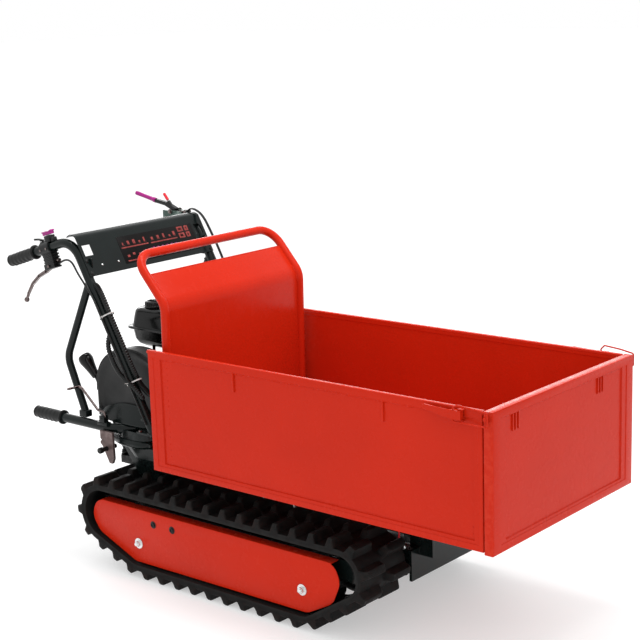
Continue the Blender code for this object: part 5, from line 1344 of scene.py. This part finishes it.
def cables():
    """Bowden cables on smooth curves, the corrugated sleeve, and the ties that hold them."""
    y = -BAR_Y
    side = [beside_bar(share, 0.006) for share in (0.3, 0.45, 0.6, 0.75, 0.88)]
    route = [at(-0.426, y, 0.512), at(-0.4, y, 0.524), at(-0.376, y - 0.004, 0.527),
        at(-0.35, y - 0.012, 0.52), at(-0.322, y - 0.018, 0.494)] + [at(x, y - 0.0185, z) for x,
        z in side]
    shape = Shape()
    shape.tube(smooth_route(route, 70), 0.0028, 14, dome=True)
    stand_in("clutch_cable_right", "run", shape, PLASTIC, 60.0)

    shape = Shape()
    front = [beside_bar(0.215, 0.012)] + [beside_bar(share, 0.0222) for share in (0.27, 0.38, 0.5, 0.62)]
    main = [at(x, y, z) for x, z in front] + [at(-0.12, y + 0.003, 0.206), at(-0.088, y + 0.006, 0.178)]
    side = [beside_bar(share, off) for share, off in ((0.44, 0.004), (0.5, -0.015), (0.57, -0.0215),
        (0.63, -0.015), (0.675, 0.002), (0.71, 0.016))]
    loose = [at(x, y - 0.006 - 0.011 * min(1.0, i), z) for i, (x, z) in enumerate(side)] + [at(-0.098,
        y - 0.01, 0.17)]
    for points, count, width in ((main, 300, 0.0076), (loose, 190, 0.0066)):
        route = smooth_route(points, count)
        radii = []
        for i in range(count):
            share = i / (count - 1)
            taper = min(1.0, 0.45 + share * 7.0)
            radii.append(taper * (width + 0.001 * math.sin(2 * math.pi * i / 5.0)))
        shape.tube(route, radii, 16, dome=True)
    stand_in("cable_sleeve", "ribs", shape, PLASTIC, 60.0)

    y = BAR_Y
    route = [at(-0.3885, y, 0.596), at(-0.366, y, 0.611), at(-0.336, y, 0.604), at(-0.312, y, 0.584),
        at(-0.288, y, 0.548), at(-0.262, y, 0.505), at(-0.228, y, 0.44), at(-0.16, y, 0.315),
        at(-0.106, y, 0.215), at(-0.08, y, 0.16)]
    shape = Shape()
    for offset in (-0.0023, 0.0023):
        shape.tube([p + Vector((0.0, offset, 0.0)) for p in smooth_route(route, 70)], 0.0022, 12, dome=True)
    stand_in("clutch_cables_left", "pair", shape, PLASTIC, 60.0)

    ties = Shape()
    for share in (0.375, 0.69):
        x, z = beside_bar(share, 0.009)
        along_tube = Vector((BAR_FOOT[0] - BAR_BEND[0], 0, BAR_FOOT[1] - BAR_BEND[1])).normalized()
        u = Vector((0, 1, 0))
        v = along_tube.cross(u)
        loop = [at(x, -BAR_Y, z) + u * (0.0178 * math.cos(a)) + v * (0.0268 * math.sin(a))
            for a in [2 * math.pi * k / 40 for k in range(40)]]
        rows = []
        for p, run in zip(loop, tangents(loop, True)):
            out = along_tube.cross(run).normalized()
            rows.append([p + along_tube * a + out * b for a, b in ((-0.0018, -0.0005), (0.0018, -0.0005),
                (0.0018, 0.0005), (-0.0018, 0.0005))])
        ties.skin(rows, loop=True)
        head = at(x, -BAR_Y, z) - u * 0.018
        ties.slab(head + Vector((-0.003, -0.0024, -0.003)), head + Vector((0.003, 0.0014, 0.003)),
            0.0006)
        ties.rod(head, head + Vector((-0.004, -0.015, 0.002)), 0.0009, 8)
    add("cable_ties", ties, TIE, "chassis", crease=40.0)


# ---- engine ---------------------------------------------------------------------------------
def engine():
    """Block and head with cooling fins and bolts, recoil cover, muffler shield, air box, tank."""
    shape = Shape()
    shape.slab(at(-0.245, -0.09, ENGINE_BASE), at(-0.07, 0.09, ENGINE_BASE + 0.11), 0.006)
    shape.slab(at(-0.255, -0.08, ENGINE_BASE), at(-0.06, 0.08, ENGINE_BASE + 0.02), 0.004)
    shape.rod(at(-0.15, -0.05, 0.12), at(-0.15, -0.147, 0.12), 0.011, 28, paint=1)
    for i in range(5):
        z = ENGINE_BASE + 0.112 + 0.0085 * i
        shape.slab(at(-0.228, -0.064, z), at(-0.102, 0.064, z + 0.0032), 0.0012)
    shape.rod(at(-0.165, 0.0, ENGINE_BASE + 0.08), at(-0.165, 0.0, ENGINE_BASE + 0.15), 0.05, 40)
    shape.slab(at(-0.225, -0.055, 0.18), at(-0.105, 0.055, 0.23), 0.004)
    for i in range(5):
        z = 0.188 + 0.0092 * i
        shape.slab(at(-0.237, -0.067, z), at(-0.093, 0.067, z + 0.003), 0.001)
    shape.slab(at(-0.212, -0.045, 0.229), at(-0.118, 0.045, 0.235), 0.003)
    for x in (-0.2, -0.13):
        for y in (-0.034, 0.034):
            shape.hex_bolt(at(x, y, 0.23), (0, 0, 1), 0.0052, 0.005, paint=2)
    for x in (-0.235, -0.08):
        for y in (-0.07, 0.07):
            shape.hex_bolt(at(x, y, ENGINE_BASE + 0.019), (0, 0, 1), 0.0054, 0.004, paint=2)
    stand_in("engine_block", "castings", shape, (CAST, STEEL, ZINC), 34.0)

    recoil = Shape()
    centre = at(-0.15, 0.0903, 0.122)
    recoil.turned([(0.083, 0.0), (0.084, 0.002), (0.0815, 0.012), (0.0785, 0.026), (0.074, 0.031),
        (0.052, 0.0372), (0.049, 0.036), (0.03, 0.036), (0.027, 0.0385), (0.006, 0.0398)],
        centre, (0, 1, 0), 48)
    for k in range(16):
        angle = 2 * math.pi * k / 16
        turn = Matrix.Translation(centre) @ Matrix.Rotation(angle, 4, "Y")
        recoil.slab((0.033, 0.034, -0.0022), (0.07, 0.0388, 0.0022), 0.0012, turn, paint=1)
    stand_in("recoil_starter", "cover", recoil, (PLASTIC, GLOSS), 34.0)

    handle = Shape()
    grip = [(0.005, 0.0), (0.007, 0.0012), (0.0074, 0.011), (0.0062, 0.022), (0.0074, 0.033),
        (0.007, 0.0428), (0.005, 0.044)]
    handle.turned(grip, at(-0.242, 0.088, 0.1525), (0, 1, 0), 24)
    handle.tube([at(-0.242, 0.11, 0.152), at(-0.2325, 0.11, 0.1495)], 0.0019, 10)
    stand_in("starter_handle", "grip", handle, PLASTIC, 40.0)

    muffler = Shape()
    muffler.slab(at(-0.066, -0.07, 0.16), at(-0.01, 0.06, 0.24), 0.014)
    for i in range(7):
        y = -0.055 + 0.0165 * i
        muffler.slab(at(-0.0115, y, 0.176), at(-0.0092, y + 0.0085, 0.224), 0.001, paint=1)
    muffler.rod(at(-0.036, -0.069, 0.21), at(-0.036, -0.082, 0.206), 0.0095, 24)
    stand_in("muffler", "shield", muffler, (IRON, PLASTIC), 34.0)

    air = Shape()
    air.slab(at(-0.09, -0.08, 0.245), at(-0.012, 0.11, 0.335), 0.016)
    air.slab(at(-0.0915, -0.0815, 0.286), at(-0.0105, 0.1115, 0.29), 0.0015)
    for i in range(5):
        air.slab(at(-0.08 + 0.014 * i, -0.06, 0.334), at(-0.074 + 0.014 * i, 0.09, 0.3362), 0.001)
    air.turned([(0.009, 0.0), (0.0096, 0.002), (0.008, 0.008), (0.004, 0.009)],
        at(-0.051, 0.015, 0.335), (0, 0, 1), 24)
    stand_in("air_cleaner", "box", air, PLASTIC, 34.0)

    tank = Shape()
    levels = [(0.0575, 0.07, 0.081), (0.0566, 0.082, 0.093), (0.0535, 0.0885, 0.0995),
        (0.047, 0.0925, 0.1035), (0.03, 0.0955, 0.107), (0.006, 0.0985, 0.1105),
        (0.0036, 0.1, 0.112), (0.003, 0.108, 0.12), (0.0022, 0.109, 0.121),
        (-0.0022, 0.109, 0.121), (-0.003, 0.108, 0.12), (-0.0036, 0.1, 0.112),
        (-0.006, 0.0985, 0.1105), (-0.033, 0.095, 0.107), (-0.046, 0.089, 0.101),
        (-0.054, 0.076, 0.09)]
    rings = []
    for rise, half_x, half_y in levels:
        corners = [(half_x, half_y, 0), (-half_x, half_y, 0), (-half_x, -half_y, 0), (half_x, -half_y, 0)]
        plan = rounded(corners, 0.032, 8, True)
        rings.append([at(TANK[0] + p.x, TANK[1] + p.y, TANK[2] + rise - (0.0015 if rise > 0.05 else 0.0))
            for p in plan])
    tank.skin(rings)
    for x in (-0.222, -0.15):
        tank.slab(at(x, -0.03, 0.2353), at(x + 0.018, 0.03, 0.276), 0.0015, paint=1)
    for y in (-0.06, 0.0, 0.06):
        tank.tube([at(TANK[0] + 0.099, TANK[1] + y, TANK[2] + 0.01), at(TANK[0] + 0.09, TANK[1] + y,
            TANK[2] + 0.045)], 0.0022, 10, dome=True)
    stand_in("fuel_tank", "shell", tank, (GLOSS, BLACK), 42.0)

    cap = Shape()
    x, y, z = -0.243, -0.05, TANK[2] + 0.0563
    cap.turned([(0.023, 0.0), (0.0285, 0.0016), (0.0285, 0.005), (0.0262, 0.0064), (0.0258, 0.014),
        (0.024, 0.0168), (0.019, 0.018), (0.018, 0.016), (0.005, 0.016)], at(x, y, z), (0, 0, 1),
        40)
    for k in range(22):
        angle = 2 * math.pi * k / 22
        spot = at(x + 0.0262 * math.cos(angle), y + 0.0262 * math.sin(angle), z)
        cap.rod(spot + Vector((0, 0, 0.0062)), spot + Vector((0, 0, 0.015)), 0.0017, 8)
    cap.slab(at(x - 0.017, y - 0.0035, z + 0.0155), at(x + 0.017, y + 0.0035, z + 0.0198), 0.0014)
    stand_in("fuel_cap", "ribs", cap, PLASTIC, 36.0)

    extras = Shape()
    plug = at(-0.1, -0.02, 0.205)
    extras.turned([(0.0085, 0.0), (0.0085, 0.012), (0.0065, 0.013), (0.0065, 0.024), (0.009, 0.026),
        (0.0085, 0.04), (0.004, 0.042)], plug, (1, 0, 0.2), 20)
    lead = smooth_route([plug + Vector((0.036, 0, 0.01)), plug + Vector((0.046, 0.03, 0.0)),
        at(-0.075, 0.06, 0.17), at(-0.09, 0.086, 0.15)], 24)
    extras.tube(lead, 0.0032, 12)
    extras.slab(at(-0.235, -0.1, 0.18), at(-0.2, -0.07, 0.235), 0.004)
    extras.rod(at(-0.218, -0.085, 0.234), at(-0.218, -0.085, 0.272), 0.0045, 16)
    add("ignition_lead", extras, PLASTIC, "chassis")


def cover_profile(inset, steps=28, left=-0.336, right=-0.044, low=0.0758, top=0.284, shoulder=0.15):
    """Outline of the belt cover: straight below, an oval sweep above."""
    left, right, top = left + inset, right - inset, top - inset
    points = [(left, low)]
    for i in range(steps + 1):
        angle = math.pi * (1 - i / steps)
        points.append(((left + right) / 2 + (right - left) / 2 * math.cos(angle),
            shoulder + (top - shoulder) * math.sin(angle) ** 0.8))
    return points + [(right, low)]


def belt_cover():
    """Pressed belt cover with a dished face and rolled edge, and the second guard behind it."""
    shape = Shape()
    front = -BELT_COVER_Y
    rings = []
    for inset, y in ((0.003, front + 0.052), (0.003, front + 0.055), (0.0, front + 0.055),
            (0.0, front + 0.004), (0.0012, front + 0.0012), (0.004, front), (0.013, front),
            (0.017, front + 0.0014), (0.023, front + 0.0034), (0.03, front + 0.004)):
        rings.append([at(x, y, z) for x, z in cover_profile(inset)])
    inner = [at(x, front + 0.0075, z) for x, z in cover_profile(0.03)]
    shape.skin([inner] + [[at(x, front + 0.006, z) for x, z in cover_profile(0.004)]] + rings)
    shape.tube(rounded([at(x, front + 0.0025, z) for x, z in cover_profile(-0.0002)[1:-1]], 0.002, 1),
        0.0024, 10, dome=True)
    for x, z in ((-0.325, 0.1), (-0.055, 0.1), (-0.255, 0.262)):
        shape.turned([(0.0068, 0.0), (0.0068, 0.001), (0.0048, 0.003), (0.002, 0.0034)],
            at(x, front + 0.0002, z), (0, -1, 0), 24, paint=1)
    stand_in("belt_cover", "pressing", shape, (COVER, PLASTIC), 40.0)

    skirt = Shape()
    rings = []
    for k in range(25):
        share = k / 24
        bulge = math.sin(math.pi * share) ** 0.5 if 0 < k < 24 else 0.02
        x = -0.326 + 0.262 * share
        out, rise = 0.031 * bulge, 0.048 * bulge
        swell = [(front - a * out - 0.0015, 0.079 + b * rise) for a, b in ((0.0, 1.0), (0.3, 0.72),
            (0.62, 0.4), (0.88, 0.14))]
        rings.append([at(x, y, z) for y, z in [(front + 0.001, 0.0765), (front + 0.001, 0.079 + rise)]
            + swell + [(front - out - 0.0015, 0.0785), (front - out - 0.001, 0.0765)]])
    skirt.skin(rings)
    add("belt_cover_skirt", skirt, BLACK, "chassis", crease=50.0)

    guard = Shape()
    outline = dict(left=-0.25, right=-0.02, low=0.07, top=0.268, shoulder=0.14)
    rings = []
    for inset, y in ((0.0, -0.1475), (0.0, -0.113), (0.002, -0.1105), (0.01, -0.1095),
            (0.026, -0.1075)):
        rings.append([at(x, y, z) for x, z in cover_profile(inset, 24, **outline)])
    guard.skin(rings)
    add("fan_guard", guard, COVER, "chassis", crease=40.0)


# ---- stage ----------------------------------------------------------------------------------
CAMERA = {"azimuth": 40.24328, "elevation": 12.37168, "roll": -1.81215, "lens": 85.487,
    "place": (2.65369, -3.00255, 1.58552)}


def camera():
    """The camera, from its place, the way it faces and its lens."""
    azimuth, elevation = math.radians(CAMERA["azimuth"]), math.radians(CAMERA["elevation"])
    back = Vector((math.sin(azimuth) * math.cos(elevation), -math.cos(azimuth) * math.cos(elevation),
        math.sin(elevation)))
    level = (-back).cross(Vector((0, 0, 1))).normalized()
    upright = level.cross(-back)
    roll = math.radians(CAMERA["roll"])
    right = level * math.cos(roll) + upright * math.sin(roll)
    up = upright * math.cos(roll) - level * math.sin(roll)
    data = bpy.data.cameras.new("camera")
    data.lens = CAMERA["lens"]
    data.sensor_width = 36.0
    data.clip_start, data.clip_end = 0.05, 60.0
    obj = bpy.data.objects.new("camera", data)
    bpy.context.scene.collection.objects.link(obj)
    obj.matrix_world = placed((right, up, back), Vector(CAMERA["place"]))
    bpy.context.scene.camera = obj


def area_light(name, place, target, size, power, colour=(1.0, 1.0, 1.0)):
    """A rectangular soft box at place that faces target."""
    data = bpy.data.lights.new(name, "AREA")
    data.shape = "RECTANGLE"
    data.size, data.size_y = size
    data.energy = power
    data.color = colour
    obj = bpy.data.objects.new(name, data)
    bpy.context.scene.collection.objects.link(obj)
    obj.location = place
    obj.rotation_mode = "QUATERNION"
    obj.rotation_quaternion = (Vector(target) - Vector(place)).to_track_quat("-Z", "Y")


def stage():
    """Pale floor that runs out of sight, a pale even sky and soft boxes."""
    recipe = Recipe("studio_floor")
    shader = recipe.shader
    tone = recipe.ranged(recipe.noise(0.8, 2.0), 0.3, 0.7, 0.64, 0.66)
    combined = recipe.nodes.new("ShaderNodeCombineColor")
    for socket in combined.inputs[:3]:
        recipe.links.new(tone, socket)
    recipe.links.new(combined.outputs["Color"], shader.inputs["Base Color"])
    shader.inputs["Roughness"].default_value = 0.8
    shader.inputs["Specular IOR Level"].default_value = 0.1
    shader.inputs["Emission Color"].default_value = (1.0, 1.0, 1.0, 1.0)
    shader.inputs["Emission Strength"].default_value = 0.42
    bpy.ops.mesh.primitive_plane_add(size=80.0)
    floor = bpy.context.object
    floor.name = "studio_floor"
    floor.data.materials.append(recipe.material)
    world = bpy.data.worlds.new("sky")
    world.use_nodes = True
    world.node_tree.nodes["Background"].inputs["Color"].default_value = (1.0, 1.0, 1.0, 1.0)
    world.node_tree.nodes["Background"].inputs["Strength"].default_value = 1.0
    bpy.context.scene.world = world
    area_light("overhead", (0.0, 0.3, 3.4), (0.1, 0.0, 0.4), (3.2, 0.45), 46.0)
    area_light("key", (3.4, -3.8, 3.4), (0.2, 0.0, 0.45), (0.45, 2.4), 8.0, (1.0, 0.99, 0.97))
    area_light("back", (-3.0, 3.6, 1.9), (0.2, 0.0, 0.5), (4.2, 0.8), 46.0)
    area_light("skip_fill", (0.3, 0.0, 2.1), (0.3, 0.05, 0.3), (1.1, 0.4), 7.0)
    bpy.context.scene.view_settings.view_transform = "Standard"


for part_side in SIDES:
    track(part_side)
    side_cover(part_side)
    side_panel(part_side)
    latches(part_side)
front_gate()
headboard()
skip_base()
chassis()
rear_frame()
handlebar()
console()
right_controls()
left_controls()
levers()
cables()
engine()
belt_cover()
camera()
stage()
